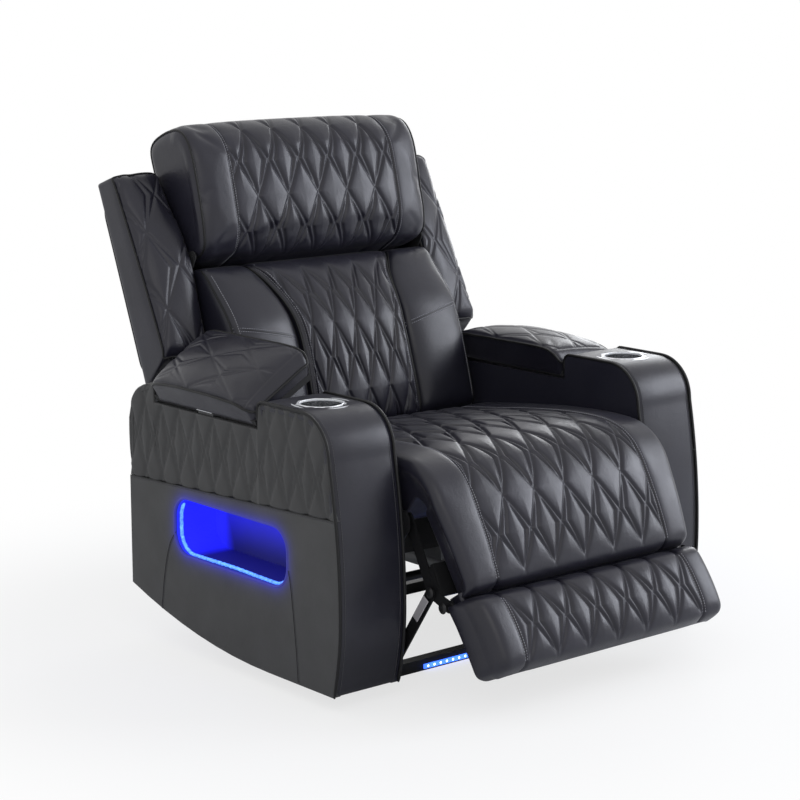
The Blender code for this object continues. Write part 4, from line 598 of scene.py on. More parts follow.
def blow_up(piece, held, cap):
    """Push a cover out with cloth pressure, with held from 0 (free) to 1 (fixed) for each point."""
    scene = bpy.context.scene
    start = points_of(piece)
    group = piece.vertex_groups.new(name="held")
    for level in np.unique(np.round(held, 2)):
        group.add([int(i) for i in np.nonzero(np.round(held, 2) == level)[0]], float(level), "REPLACE")
    cloth = piece.modifiers.new("padding", "CLOTH")
    settings = cloth.settings
    settings.vertex_group_mass = "held"
    settings.use_pressure = True
    settings.uniform_pressure_force = PRESSURE
    settings.effector_weights.gravity = 0.0
    settings.tension_stiffness = STIFFNESS
    settings.compression_stiffness = STIFFNESS
    settings.shear_stiffness = STIFFNESS / 2
    settings.bending_stiffness = 2.0
    settings.quality = 5
    settings.mass = 0.4
    settings.pin_stiffness = 5.0
    cloth.point_cache.frame_start = 1
    cloth.point_cache.frame_end = CLOTH_FRAMES
    for step in range(1, CLOTH_FRAMES + 1):
        scene.frame_set(step)
    evaluated = piece.evaluated_get(bpy.context.evaluated_depsgraph_get())
    blown = np.zeros(len(start) * 3)
    evaluated.data.vertices.foreach_get("co", blown)
    moved = blown.reshape(-1, 3) - start
    reach = np.linalg.norm(moved, axis=1, keepdims=True)
    moved *= np.minimum(1.0, cap / np.maximum(reach, 1e-9)) * (1 - held[:, None])
    piece.modifiers.clear()
    piece.vertex_groups.clear()
    scene.frame_set(1)
    move_points(piece, start + moved)
    print(f"{piece.name}: padding pushed {1000 * float(np.max(reach)):.1f} mm, capped at {1000 * cap:.0f}")
    return piece


print("cloth ready")

# %% [markdown]
# The quilting is a lattice of tall diamonds. Where four seams meet in a star, the diamond below the star
# holds a second, slimmer one with the same top and bottom, so its sides run as double lines. The relief
# falls in a V to each seam and rises in a soft pillow between, and a plain border frames the whole.

# %% The pattern of diamonds
SLIM_SHARE = 0.6
CREASE_SHARE = 0.5
CREASE_REACH = 0.0031
PILLOW_REACH = 0.011


def ease(share):
    """A smooth rise from 0 to 1."""
    share = np.clip(share, 0.0, 1.0)
    return share * share * (3 - 2 * share)


def seam_distance(across, along, wide, tall):
    """Distance in metres to the nearest quilting seam."""
    slope = math.hypot(1 / wide, 1 / tall)
    up = along / tall + across / wide
    down = along / tall - across / wide
    lattice = np.minimum(np.abs(up - np.round(up)), np.abs(down - np.round(down))) / slope
    p = np.abs(across / wide - np.round(across / wide)) * 2
    q = np.abs(along / tall - np.floor(along / tall) - 0.5) * 2
    slim = np.abs(p / SLIM_SHARE + q - 1) / math.hypot(2 / (SLIM_SHARE * wide), 2 / tall)
    inside = p + q <= 1
    return np.where(inside, np.minimum(lattice, slim), lattice)


def sink(distance):
    """How far the skin sinks near a seam, from 0 to 1: a fine crease in a broad, soft valley."""
    return (CREASE_SHARE * np.exp(-(distance / CREASE_REACH) ** 2)
            + (1 - CREASE_SHARE) * np.exp(-distance / PILLOW_REACH))


print("seam valleys fade over", PILLOW_REACH, "m")

# %% [markdown]
# Quilting is a relief, so it moves points and isn't painted on. Every point of the skin sinks along its own
# normal by what the pattern says, and the underside and the walls stay where they are.

# %% Quilting
BORDER_TIGHTNESS = 1.6


def quilt(piece, half, wide, tall, depth, start=0.0, shift=0.0, border=0.003, limits=None, fade=None):
    """Sink the quilting seams, and the border seams at half, into a cushion's skin."""
    across, along, skin = (values_of(piece, key) for key in ("across", "along", "skin"))
    sunk = sink(seam_distance(across - shift, along - start, wide, tall))
    if fade:
        sunk = sunk * ease((along - fade[0]) / fade[2]) * ease((fade[1] - along) / fade[2])
    edge = np.abs(np.abs(across) - half)
    middle = np.abs(across) < half
    if limits:
        ends = np.minimum(np.abs(along - limits[0]), np.abs(along - limits[1]))
        middle = middle & (along > limits[0]) & (along < limits[1])
        edge = np.where(np.abs(across) < half, np.minimum(edge, ends), edge)
    sunk = np.where(middle, np.maximum(sunk, sink(edge)), sink(edge * BORDER_TIGHTNESS))
    normals = np.zeros(len(skin) * 3)
    piece.data.vertices.foreach_get("normal", normals)
    height = (border - (depth + border) * sunk) * skin
    move_points(piece, points_of(piece) + normals.reshape(-1, 3) * height[:, None])
    piece.data.shade_smooth()
    print(f"{piece.name}: {len(piece.data.vertices)} points, seams {1000 * depth:.0f} mm deep")
    return piece


print("quilting ready")

# %% [markdown]
# Piping and stitches have to lie on a cover that has since been padded and quilted. A path is drawn on the grid
# that the cover was made from, and each of its points is then dropped onto the finished surface with a ray.

# %% Paths on a cover
DROP_HEIGHT = 0.03
SLOPE_STEP = 0.7
RIM_PITCH = 0.006


def surface_of(piece):
    """A search tree over a finished piece."""
    return BVHTree.FromObject(piece, bpy.context.evaluated_depsgraph_get())


def laid(piece, rows, columns, lift=0.0, tree=None):
    """A path on a finished cover, over (row, column) places of the grid it was made from."""
    grid, down = PATTERNS[piece.name]
    tree = tree or surface_of(piece)
    rows, columns = np.broadcast_arrays(np.asarray(rows, float), np.asarray(columns, float))

    def sample(array, r, c):
        r = np.clip(r, 0, array.shape[0] - 1.001)
        c = np.clip(c, 0, array.shape[1] - 1.001)
        i, j = r.astype(int), c.astype(int)
        a, b = (r - i)[:, None], (c - j)[:, None]
        return ((array[i, j] * (1 - a) + array[i + 1, j] * a) * (1 - b)
                + (array[i, j + 1] * (1 - a) + array[i + 1, j + 1] * a) * b)

    spots = sample(grid, rows, columns)
    across = sample(grid, rows, columns + SLOPE_STEP) - sample(grid, rows, columns - SLOPE_STEP)
    along = sample(grid, rows + SLOPE_STEP, columns) - sample(grid, rows - SLOPE_STEP, columns)
    out = np.cross(along, across)
    out /= np.maximum(np.linalg.norm(out, axis=1, keepdims=True), 1e-9)
    if np.sum(out * sample(down, rows, columns)) > 0:
        out = -out
    shift = np.array((0.0, MIDDLE_Y, 0.0))
    path = []
    for spot, normal in zip(spots - shift, out):
        hit = tree.ray_cast(Vector(spot + DROP_HEIGHT * normal), Vector(-normal), 2 * DROP_HEIGHT)[0]
        if hit is None:
            hit = tree.find_nearest(Vector(spot))[0]
        path.append(np.array(hit) + normal * lift + shift)
    return np.array(path)


def edge_loop(piece, lift=0.0015):
    """The closed path round a cover's rim, laid on the finished piece."""
    grid = PATTERNS[piece.name][0]
    rows, columns = grid.shape[0] - 1, grid.shape[1] - 1
    corner = [(0.0, 0.0), (0.0, 1.0), (1.0, 1.0), (1.0, 0.0), (0.0, 0.0)]
    places = np.concatenate([np.linspace(a, b, 60, endpoint=False) for a, b in zip(corner, corner[1:])])
    tree = surface_of(piece)
    shift = Vector((0.0, MIDDLE_Y, 0.0))
    i = np.clip(np.round(places[:, 0] * rows).astype(int), 0, rows)
    j = np.clip(np.round(places[:, 1] * columns).astype(int), 0, columns)
    path = []
    for spot in grid[i, j]:
        near, normal, _, _ = tree.find_nearest(Vector(spot) - shift)
        path.append(tuple(near + normal * lift + shift))
    path = resample(path + path[:1], RIM_PITCH)[:-1]
    for _ in range(3):
        path = (np.roll(path, 1, 0) + 2 * path + np.roll(path, -1, 0)) / 4
    return path


print("paths are dropped from", DROP_HEIGHT, "m")

# %% [markdown]
# Each piece of the visual model rides on one body of the CAD model. A padded piece also hides the CAD solid
# that it stands for.

# %% Trim and upholstery
PIPING_RADIUS = 0.0028


def trim(piece, body):
    """Let a piece of trim ride on a body."""
    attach(piece, body)
    return piece


def upholster(piece, solid, body):
    """Let a padded piece stand for a CAD solid and ride on its body."""
    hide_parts(solid)
    return trim(piece, body)


print("piping", PIPING_RADIUS, "m in radius")

# %% [markdown]
# The seat cover runs unbroken from under the back, over the round front edge and down to the calf crease, so
# it is one cushion over two CAD solids. It is laid out as a path in the side view, with the sag of a used
# seat, a quarter-turn roll and a straight calf panel, and then swept across the chair's width.

# %% Side profile of the seat
PAD_HALF = 0.305
SEAT_HALF = (0.318, 0.297)
ROLL_CENTRE = np.array((-0.012, 0.352))
ROLL_RADIUS = 0.088
SEAT_REAR_Y = 0.468
SEAT_UNDER_Z = 0.3306
SEAT_SAG = 0.015
SEAT_BULGE = 0.024
ROLL_DROP = 0.0035
ROLL_EASE = 0.055
CALF_SLOPE = math.radians(63)
CALF_END = 0.1765
CALF_FULL = 0.008
CALF_BULGE = 0.004
ROLL_STEPS = 13
CALF_STEPS = 23
ROLL_CORE = 0.038
CALF_CORE = 0.031
QUILT_HALF = 0.23
FOOT_QUILT = 0.243
DIAMOND = (0.08, 0.15)
SEAM_DEPTH = 0.004


def seat_height(y):
    """The seat's height, full behind the roll and sagging a little to the rear."""
    share = max(0.0, (y - ROLL_CENTRE[0]) / (SEAT_REAR_Y - ROLL_CENTRE[0]))
    full = SEAT_BULGE * (1 - float(ease((share - 0.12) / 0.88)))
    full -= ROLL_DROP * max(0.0, 1 - (y - ROLL_CENTRE[0]) / ROLL_EASE) ** 2
    return ROLL_CENTRE[1] + ROLL_RADIUS + full - SEAT_SAG * share * share


def slope_axes(slope):
    """Directions along a panel that leans forward and down by slope, and out of it."""
    return (np.array((-math.cos(slope), -math.sin(slope))), np.array((-math.sin(slope), math.cos(slope))))


def rounded(distance, radius):
    """How far a surface drops within radius of its edge, like a quarter round."""
    near = np.clip(1 - distance / radius, 0.0, 1.0)
    return radius * (1 - np.sqrt(np.clip(1 - near * near, 0.0, 1.0)))


print("seat", round(seat_height(ROLL_CENTRE[0]), 4), "m high at its roll")

# %% [markdown]
# One builder makes every long pad. It takes matching paths for the skin and the underside in the side view and
# sweeps them across the chair. The skin is crowned in the middle and rounded down to its sides and ends, and
# the ends can have round corners, the underside can flare, and the front can lean to one side.

# %% Sweeping a pad across the chair
BOW_POWER = 0.6
CROWN_POWER = 2.6


def sweep(name, outer, under, half, material, crown=0.01, side_round=0.016, end_rounds=(0.012, 0.012), tuck=0.004,
          centre=0.0, pull=0.004, corners=(0.0, 0.0), flare=0.0, lean=0.0, straight=False):
    """A cushion swept across the chair from matching outer and under paths in the side view."""
    outer, under = np.asarray(outer), np.asarray(under)
    length = np.concatenate([[0.0], np.cumsum(np.linalg.norm(np.diff(outer, axis=0), axis=1))])
    half = np.broadcast_to(np.asarray(half, float), (len(outer),))
    columns = int(round(2 * half.max() / GRID_STEP))
    share = np.linspace(-1.0, 1.0, columns + 1)
    out = outer - under
    out /= np.linalg.norm(out, axis=1, keepdims=True)
    bow = np.abs(np.sin(math.pi * length / length[-1])) ** BOW_POWER
    reach = half - pull * bow
    for distance, corner in ((length, corners[0]), (length[-1] - length, corners[1])):
        if corner:
            reach = reach - rounded(distance, corner)
    x = share[None, :] * reach[:, None]
    side = reach[:, None] * (1 - np.abs(share))[None, :]
    ends = np.minimum(rounded(length, end_rounds[0]), 1) + rounded(length[-1] - length, end_rounds[1])
    rise = crown * bow[:, None] * (1 - np.abs(share[None, :]) ** CROWN_POWER)
    rise = rise - rounded(side, side_round) - ends[:, None]
    swell = np.sin(math.pi * length / length[-1]) ** 2
    rise = rise + abs(lean) * swell[:, None] * (1 + np.sign(lean) * share[None, :]) / 2
    skin = np.zeros((len(outer), columns + 1, 3))
    base = np.zeros_like(skin)
    skin[..., 0] = x
    base[..., 0] = x + flare * share[None, :]
    skin[..., 1:] = outer[:, None, :] + out[:, None, :] * rise[..., None]
    base[..., 1:] = under[:, None, :]
    skin[..., 0] += centre
    base[..., 0] += centre
    across = share[None, :] * half.max() * np.ones((len(outer), 1))
    if straight or half.min() == half.max():
        across = x
    return cushion(name, skin, base, across, np.broadcast_to(length[:, None], x.shape), material, tuck=tuck), length


print("sweep ready, columns", GRID_STEP, "m apart")

# %% [markdown]
# The seat's path has three parts. It runs level from the back to the roll, turns round the roll, where the
# fullness fades, and goes straight down the calf panel, which narrows a little to its foot. The cover stands
# for two CAD solids, which are hidden.

# %% Seat and calf cover
run, out = slope_axes(CALF_SLOPE)
seat_path, under_path = [], []
for y in np.arange(SEAT_REAR_Y, ROLL_CENTRE[0] + 0.004, -GRID_STEP):
    seat_path.append((y, seat_height(y)))
    under_path.append((y, SEAT_UNDER_Z + 0.06 * max(0.0, 1 - (y - ROLL_CENTRE[0]) / 0.045)))
for i in range(ROLL_STEPS):
    angle = math.pi / 2 + CALF_SLOPE * i / ROLL_STEPS
    spoke = np.array((math.cos(angle), math.sin(angle)))
    full = CALF_FULL + (SEAT_BULGE - ROLL_DROP - CALF_FULL) * (1 - i / ROLL_STEPS) ** 2
    seat_path.append(tuple(ROLL_CENTRE + (ROLL_RADIUS + full) * spoke))
    under_path.append(tuple(ROLL_CENTRE + ROLL_CORE * spoke))
for s in np.linspace(0.0, CALF_END, CALF_STEPS):
    late = max(0.0, s / CALF_END - 0.86) / 0.14
    rise = ROLL_RADIUS + CALF_FULL + CALF_BULGE * math.sin(math.pi * s / CALF_END) - 0.006 * late * late
    seat_path.append(tuple(ROLL_CENTRE + s * run + rise * out))
    under_path.append(tuple(ROLL_CENTRE + s * run + CALF_CORE * out))
seat_half = np.full(len(seat_path), SEAT_HALF[0])
seat_half[-CALF_STEPS:] = SEAT_HALF[0] + (SEAT_HALF[1] - SEAT_HALF[0]) * np.linspace(0.0, 1.0, CALF_STEPS)
seat, seat_along = sweep("seat_and_calf_cover", seat_path, under_path, seat_half, QUILT_LEATHER, crown=0.012,
                         end_rounds=(0.02, 0.02), flare=-0.016, straight=True)
blow_up(seat, held_share(seat, QUILT_HALF), cap=0.008)
refine(seat)
SEAT_STAR = seat_along[-1] - 0.02
quilt(seat, QUILT_HALF, *DIAMOND, SEAM_DEPTH, start=SEAT_STAR, fade=(-0.1, seat_along[-1] - 0.008, 0.03))
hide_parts("seat_cushion", "calf_pad")
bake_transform(seat)
print("seat path", round(float(seat_along[-1]), 3), "m")

# %% [markdown]
# The footrest hangs from the toes of the calf frame and leans forward a little more. It is a short thick pad
# that wraps its board, with the same quilting between plain borders and a plump roll along its free edge.

# %% Footrest cushion
FOOT_PIVOT = np.array((-0.1272, 0.2031))
FOOT_SLOPE = math.radians(56)
run, out = slope_axes(FOOT_SLOPE)
foot_path, foot_under = [], []
for share in np.linspace(0.0, 1.0, 23):
    s = 0.007 + 0.156 * share
    bulge = 0.066 + 0.010 * abs(math.sin(math.pi * share)) ** 0.7
    foot_path.append(tuple(FOOT_PIVOT + s * run + bulge * out))
    foot_under.append(tuple(FOOT_PIVOT + (0.155 * share - 0.001) * run - 0.0028 * out))
footrest, foot_along = sweep("footrest_cushion", foot_path, foot_under, PAD_HALF, QUILT_LEATHER, crown=0.004,
                             side_round=0.022, end_rounds=(0.024, 0.03), pull=0.002, corners=(0.0, 0.022),
                             tuck=-0.004, flare=0.0125)
blow_up(footrest, held_share(footrest, FOOT_QUILT), cap=0.006)
refine(footrest)
quilt(footrest, FOOT_QUILT, *DIAMOND, SEAM_DEPTH, start=foot_along[-1] / 2 - 0.075,
      fade=(-0.1, foot_along[-1] - 0.006, 0.02))
upholster(footrest, "footrest_pad", "footrest")
print("footrest pad", round(float(foot_along[-1]), 3), "m long")

# %% [markdown]
# Between the calf and the footrest the leather dips behind the crease and carries on. That hidden bridge is a
# thin sheet.

# %% Crease bridge
BRIDGE_THICK = 0.036
calf_run, calf_out = slope_axes(CALF_SLOPE)
ends = (ROLL_CENTRE + 0.166 * calf_run + 0.06 * calf_out, FOOT_PIVOT + 0.016 * run + 0.05 * out)
dip = (ends[0] + ends[1]) / 2 - 0.012 * (calf_out + out) / 2
bridge_path = smooth_curve([tuple(ends[0]), tuple(dip), tuple(ends[1])], spans=6)
bridge, _ = sweep("crease_bridge", bridge_path, bridge_path - BRIDGE_THICK * out, SEAT_HALF[1] - 0.001,
                  PLAIN_LEATHER, crown=0.0, side_round=0.001, end_rounds=(0.001, 0.001), tuck=0.0, pull=0.0)
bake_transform(bridge)
print("bridge of", len(bridge_path), "steps")

# %% [markdown]
# Everything on the back is laid out in the back's own axes: t runs up along it and n comes forward out of it,
# both from the recline pivot. The lumbar cushion is quilted, narrow at its waist and deep at its sides.

# %% Lumbar cushion and bolsters
BACK_PIVOT = np.array((0.56, 0.32))
BACK_LEAN = math.radians(22)
BACK_UP = np.array((math.sin(BACK_LEAN), math.cos(BACK_LEAN)))
BACK_OUT = np.array((-math.cos(BACK_LEAN), math.sin(BACK_LEAN)))
LUMBAR = (0.09, 0.452)
BOLSTER_OUTER = 0.311


def back_point(t, n):
    """A side view point from the back's own axes."""
    return BACK_PIVOT + t * BACK_UP + n * BACK_OUT


LUMBAR_WIDTHS = ((0.0, 0.3, 0.5, 0.62, 0.74, 0.85, 0.93, 1.0),
                 (0.145, 0.1415, 0.142, 0.146, 0.154, 0.166, 0.182, 0.2))


def lumbar_half(share):
    """Half width of the lumbar cushion, from the waist to the shoulders."""
    return np.interp(share, *LUMBAR_WIDTHS)


def lumbar_line(deep, belly=0.0, lip=0.0):
    """A side view line up the back, full in the middle and curling back under the headrest."""
    return [back_point(LUMBAR[0] + (LUMBAR[1] - LUMBAR[0]) * s,
                       deep + belly * math.sin(math.pi * s) - lip * float(ease((s - 0.55) / 0.45))) for s in steps]


steps = np.linspace(-0.09, 1.0, 50)
lumbar_path = lumbar_line(0.12, 0.016, 0.04)
lumbar_under = lumbar_line(-0.0145)
lumbar, lumbar_along = sweep("lumbar_cushion_cover", lumbar_path, lumbar_under, lumbar_half(steps), QUILT_LEATHER,
                             crown=0.008, side_round=0.014, end_rounds=(0.02, 0.035), tuck=0.0, pull=0.0)
blow_up(lumbar, held_share(lumbar), cap=0.006)
refine(lumbar)
quilt(lumbar, 0.19, *DIAMOND, SEAM_DEPTH, start=0.078, fade=(-0.1, lumbar_along[-1] - 0.01, 0.05))
upholster(lumbar, "lumbar_cushion", "back")

for label, side in SIDES.items():
    path = lumbar_line(0.114, 0.013, 0.034)
    inner = lumbar_half(steps) + 0.003
    half = (BOLSTER_OUTER - inner) / 2
    centre = side * (BOLSTER_OUTER + inner) / 2
    bolster, along = sweep(f"bolster_{label}_cover", path, lumbar_under, half, PLAIN_LEATHER, crown=0.012,
                           side_round=0.018, end_rounds=(0.03, 0.03), tuck=0.0, pull=0.0, centre=centre[:, None])
    blow_up(bolster, held_share(bolster), cap=0.008)
    refine(bolster)
    upholster(bolster, f"bolster_{label}", "back")
    print(bolster.name, len(bolster.data.vertices), "points")

# %% [markdown]
# The headrest is a fat bolster with flat ends. Its side profile is a smooth loop through a few points in the
# back's axes, and the loop is swept across the chair. The ends close with rings that shrink to the middle,
# which leaves a flat gusset with a crisp rim for the piping.

# %% Bolster builder
HEAD_HALF = 0.308
HEAD_QUILT = 0.222
HEAD_RING = 0.3015
HEAD_LOOP = ((-0.024, 0.489), (-0.004, 0.473), (0.035, 0.469), (0.072, 0.472), (0.095, 0.49), (0.107, 0.525),
             (0.115, 0.57), (0.1235, 0.63), (0.1275, 0.68), (0.121, 0.716), (0.103, 0.741), (0.07, 0.755),
             (0.03, 0.758), (-0.006, 0.753), (-0.026, 0.736), (-0.031, 0.7), (-0.031, 0.62), (-0.031, 0.54))


def loop_normals(loop):
    """Outward directions round a closed loop in a plane."""
    run = np.roll(loop, -1, 0) - np.roll(loop, 1, 0)
    run /= np.linalg.norm(run, axis=1, keepdims=True)
    out = np.stack([run[:, 1], -run[:, 0]], axis=1)
    middle = loop.mean(0)
    return out if np.sum(out * (loop - middle)) > 0 else -out


def bolster_loop(name, loop, half, material, end_round=0.012, dome=0.004, rings=5, crown=0.0):
    """A closed bolster: a loop in the side view swept across the chair, with gusset ends."""
    out = loop_normals(loop)
    columns = int(round(2 * half / GRID_STEP))
    xs = np.linspace(-half, half, columns + 1)
    side = half - np.abs(xs)
    layers = []
    for x, d in zip(xs, side):
        inset = float(rounded(np.array(d), end_round)) * 0.6 - crown * (1 - (abs(x) / half) ** 3)
        ring = loop - out * inset
        layers.append(np.column_stack([np.full(len(loop), x), ring]))
    count = len(loop)
    grid = np.stack(layers)
    grid = np.concatenate([grid, grid[:, :1]], axis=1)
    PATTERNS[name] = (grid, grid.mean(1, keepdims=True) - grid)
    first, last = layers[0], layers[-1]
    caps = []
    for ring, sign in ((first, -1), (last, 1)):
        middle = ring.mean(0)
        made = []
        for k in range(1, rings + 1):
            share = 1 - k / (rings + 0.6)
            step = middle + (ring - middle) * share
            step[:, 0] = ring[:, 0] + sign * dome * math.sin(math.pi / 2 * (1 - share))
            made.append(step)
        caps.append(made)
    stack = caps[0][::-1] + layers + caps[1]
    points = np.concatenate(stack)
    faces = []
    for i in range(len(stack) - 1):
        for k in range(count):
            a, b = i * count + k, i * count + (k + 1) % count
            faces.append((a, b, b + count, a + count))
    faces.append(tuple(range(count)))
    faces.append(tuple(range((len(stack) - 1) * count, len(stack) * count)))
    piece = mesh_piece(name, points, faces, material)
    lengths = np.concatenate([[0.0], np.cumsum(np.linalg.norm(np.diff(loop, axis=0), axis=1))])
    skin = np.concatenate([np.zeros(rings * count), np.ones(len(layers) * count), np.zeros(rings * count)])
    return remember(piece, across=points[:, 0], along=np.tile(lengths, len(stack)), skin=skin), lengths


print("headrest loop through", len(HEAD_LOOP), "points")

# %% [markdown]
# Only the front of the headrest is quilted, so the skin's share fades out over the top and the underside. The
# padding is then blown up where the skin is free, and the gussets at the ends stay flat.

# %% Headrest
head_loop = closed_curve([tuple(back_point(t, n)) for n, t in HEAD_LOOP], GRID_STEP)
headrest, head_along = bolster_loop("headrest_cover", head_loop, HEAD_HALF, QUILT_LEATHER, end_round=0.026,
                                    dome=0.001, crown=0.008)
HEAD_FRONT_LENGTH = 0.43
HEAD_FADE = 0.02
fade = np.clip((HEAD_FRONT_LENGTH - values_of(headrest, "along")) / HEAD_FADE, 0.0, 1.0)
fade *= np.clip(values_of(headrest, "along") / HEAD_FADE, 0.0, 1.0)
skin = values_of(headrest, "skin")
blow_up(headrest, np.where((skin > 0.5) & (fade > 0.5), 0.0, 1.0), cap=0.005)
headrest.data.attributes["skin"].data.foreach_set("value", (skin * fade).astype(np.float32))
refine(headrest)
quilt(headrest, HEAD_QUILT, *DIAMOND, SEAM_DEPTH, start=0.075, fade=(0.085, HEAD_FRONT_LENGTH, 0.06))
upholster(headrest, "headrest_pad", "headrest")

# %% [markdown]
# The wings stand beside the headrest and close the back's sides. Their fronts are quilted with a few large
# diamonds and their outer sides are plain, with a piped seam on the corner between the two.

# %% Wings
WING = (0.316, 0.431)

steps = np.linspace(0.0, 1.0, 50)
for label, side in SIDES.items():
    front = [back_point(0.281 + 0.396 * s, 0.047 - 0.034 * s) for s in steps]
    rear = [back_point(0.228 + 0.453 * s, -0.0598) for s in steps]
    centre = side * (WING[0] + WING[1]) / 2
    wing, along = sweep(f"wing_{label}_cover", front, rear, (WING[1] - WING[0]) / 2, QUILT_LEATHER, crown=0.006,
                        side_round=0.010, end_rounds=(0.012, 0.008), tuck=0.0, pull=0.001, centre=centre,
                        lean=-0.026 * side)
    blow_up(wing, held_share(wing), cap=0.004)
    refine(wing)
    quilt(wing, 0.056, 0.1, 0.17, 0.0014, start=0.09, shift=0.03 * side)
    upholster(wing, f"wing_{label}", "back")

# %% [markdown]
# Each arm has a padded lid on a hinge at its outer edge. The photograph shows the left one propped open, so
# the pad is made lying flat in the hinge's own axes and then turned with it. The pad wraps its board, with a
# crowned quilted top, a plain boxing round the sides and a front end that rolls down.

# %% Shape of a lid
LID_HINGE = (0.484, 0.5185)
LID_ENDS = (0.2355, 0.579)
LID_OPEN = math.radians(30)
LID_TOP = (-0.0035, 0.169)
LID_FOOT = (-0.004, 0.153)
LID_OUTER = ((0.0, 0.05, 0.13, 0.35, 0.65, 0.88, 1.0), (0.034, 0.046, 0.052, 0.056, 0.054, 0.048, 0.034))
LID_INNER = ((0.0, 0.05, 0.12, 0.80, 0.90, 0.96, 1.0), (0.046, 0.056, 0.061, 0.062, 0.060, 0.053, 0.038))


def turn_on_hinge(piece, side, opened):
    """Turn a mesh made in a lid's own axes to the lid's place."""
    angle = side * opened
    points = points_of(piece)
    x, z = points[:, 0].copy(), points[:, 2].copy()
    points[:, 0] = side * LID_HINGE[0] + x * math.cos(angle) + z * math.sin(angle)
    points[:, 2] = LID_HINGE[1] - x * math.sin(angle) + z * math.cos(angle)
    move_points(piece, points)
    return piece


def lid_grids(side, rows=46, columns=24):
    """The skin and the underside of a lid's pad in the hinge's axes."""
    share = np.linspace(0.0, 1.0, rows)
    u = np.linspace(0.0, 1.0, columns)
    length = LID_ENDS[1] - LID_ENDS[0]
    y = LID_ENDS[1] - length * share
    corner = rounded(length * (1 - share), 0.012) + rounded(length * share, 0.016)
    grids = []
    for low, high, squeeze in ((*LID_TOP, 1.0), (*LID_FOOT, 0.9)):
        half = (high - low) / 2 - corner * squeeze
        w = (low + high) / 2 + half[:, None] * (2 * u - 1)[None, :]
        grid = np.zeros((rows, columns, 3))
        grid[..., 0] = -side * w
        grid[..., 1] = y[:, None]
        grids.append(grid)
    outer, inner = np.interp(share, *LID_OUTER), np.interp(share, *LID_INNER)
    bow = np.abs(np.sin(math.pi * share)) ** 0.5
    edge = np.minimum(u, 1 - u)[None, :] * (LID_TOP[1] - LID_TOP[0])
    height = outer[:, None] * (1 - u) + inner[:, None] * u + 0.011 * 4 * (u * (1 - u))[None, :] * bow[:, None]
    height = height - rounded(edge, 0.006) - rounded(length * share, 0.006)[:, None]
    grids[0][..., 2] = height - rounded(length * (1 - share), 0.009)[:, None]
    grids[1][..., 2] = -0.0026
    return grids


print("lid", round(LID_ENDS[1] - LID_ENDS[0], 4), "m long")

# %% [markdown]
# Both lids are the same pad, made once for each side and turned on their hinges: the left one open, the right
# one shut. The piping and the hinge's barrel are made lying flat too, and turn with the pad.

# %% Lids in place
for label, side, opened in (("left", -1, LID_OPEN), ("right", 1, 0.0)):
    skin, under = lid_grids(side)
    lid = cushion(f"lid_{label}_cover", skin, under, skin[..., 0] + side * 0.082, skin[..., 1], QUILT_LEATHER,
                  tuck=0.001)
    blow_up(lid, held_share(lid), cap=0.003)
    refine(lid)
    quilt(lid, 0.083, 0.084, 0.15, 0.0015, start=0.285, border=0.001, limits=(0.252, 0.6))
    rim = tube(f"lid_{label}_piping", edge_loop(lid), PIPING_RADIUS, PIPING_LEATHER, closed=True)
    hinge_line = np.column_stack([np.zeros(12), np.linspace(0.38, 0.44, 12), np.zeros(12)])
    barrel = tube(f"lid_{label}_hinge_barrel", hinge_line, 0.0034, SILVER)
    for part in (lid, rim, barrel):
        turn_on_hinge(part, side, opened)
    upholster(lid, f"lid_{label}_pad", f"lid_{label}")
    trim(rim, f"lid_{label}")
    trim(barrel, f"lid_{label}")
print("lids, piping and barrels in place")

# %% [markdown]
# An arm's side is a bowed outline: the front leans back and rounds over to a flat top, the lid sits in a step
# behind it, and the rear rounds down again. Covers for the front and the rear are swept along that outline,
# and the band on the outside is a sheet of small tall diamonds above a straight seam.

# %% Outline of an arm
ARM_FOOT = 0.03
ARM_TOP = 0.562
ARM_REAR = 0.676
REAR_TOP = 0.5456
PLATEAU_END = 0.228
LID_SEAT = 0.51
LID_REAR = 0.584
REAR_CORNER = 0.596
REAR_ROUND = 0.08
PLATEAU_ROUND = 0.012
SEAM = (0.373, 0.342)
SEAM_FRONT = -0.029
SEAM_LENGTH = 0.715
BAND_DIAMOND = (0.06, 0.14)


def arm_front():
    """The side view curve from an arm's front foot to its flat top."""
    points = [(-0.019 * math.sin(math.pi / 2 * s), ARM_FOOT + 0.15 * s) for s in np.linspace(0.0, 1.0, 12)]
    points += [(-0.019 + 0.031 * s * s, 0.18 + 0.3 * s) for s in np.linspace(0.08, 1.0, 24)]
    for s in np.linspace(0.06, 1.0, 14):
        angle = math.pi - math.pi / 2 * s
        points.append((0.094 + 0.082 * math.cos(angle), 0.48 + 0.082 * math.sin(angle)))
    return points


def tail(y):
    """Height of an arm's bottom edge, which rises to the rear."""
    share = max(0.0, (y - 0.2) / (ARM_REAR - 0.2))
    return ARM_FOOT + 0.082 * share * share


def arm_rear():
    """The side view curve from the lid's seat over the rear corner and down."""
    points = [(LID_REAR, LID_SEAT), (LID_REAR, REAR_TOP)]
    for s in np.linspace(0.0, 1.0, 14):
        angle = math.pi / 2 - math.pi / 2 * s
        points.append((REAR_CORNER + REAR_ROUND * math.cos(angle),
                       REAR_TOP - REAR_ROUND + REAR_ROUND * math.sin(angle)))
    points += [(ARM_REAR, z) for z in np.linspace(REAR_TOP - 0.09, tail(ARM_REAR), 30)]
    return points


def offset_path(path, distance):
    """A side view path moved sideways, to its right as it runs."""
    path = np.asarray(path, float)
    run = np.gradient(path, axis=0)
    run /= np.linalg.norm(run, axis=1, keepdims=True)
    return path + distance * np.stack([run[:, 1], -run[:, 0]], axis=1)


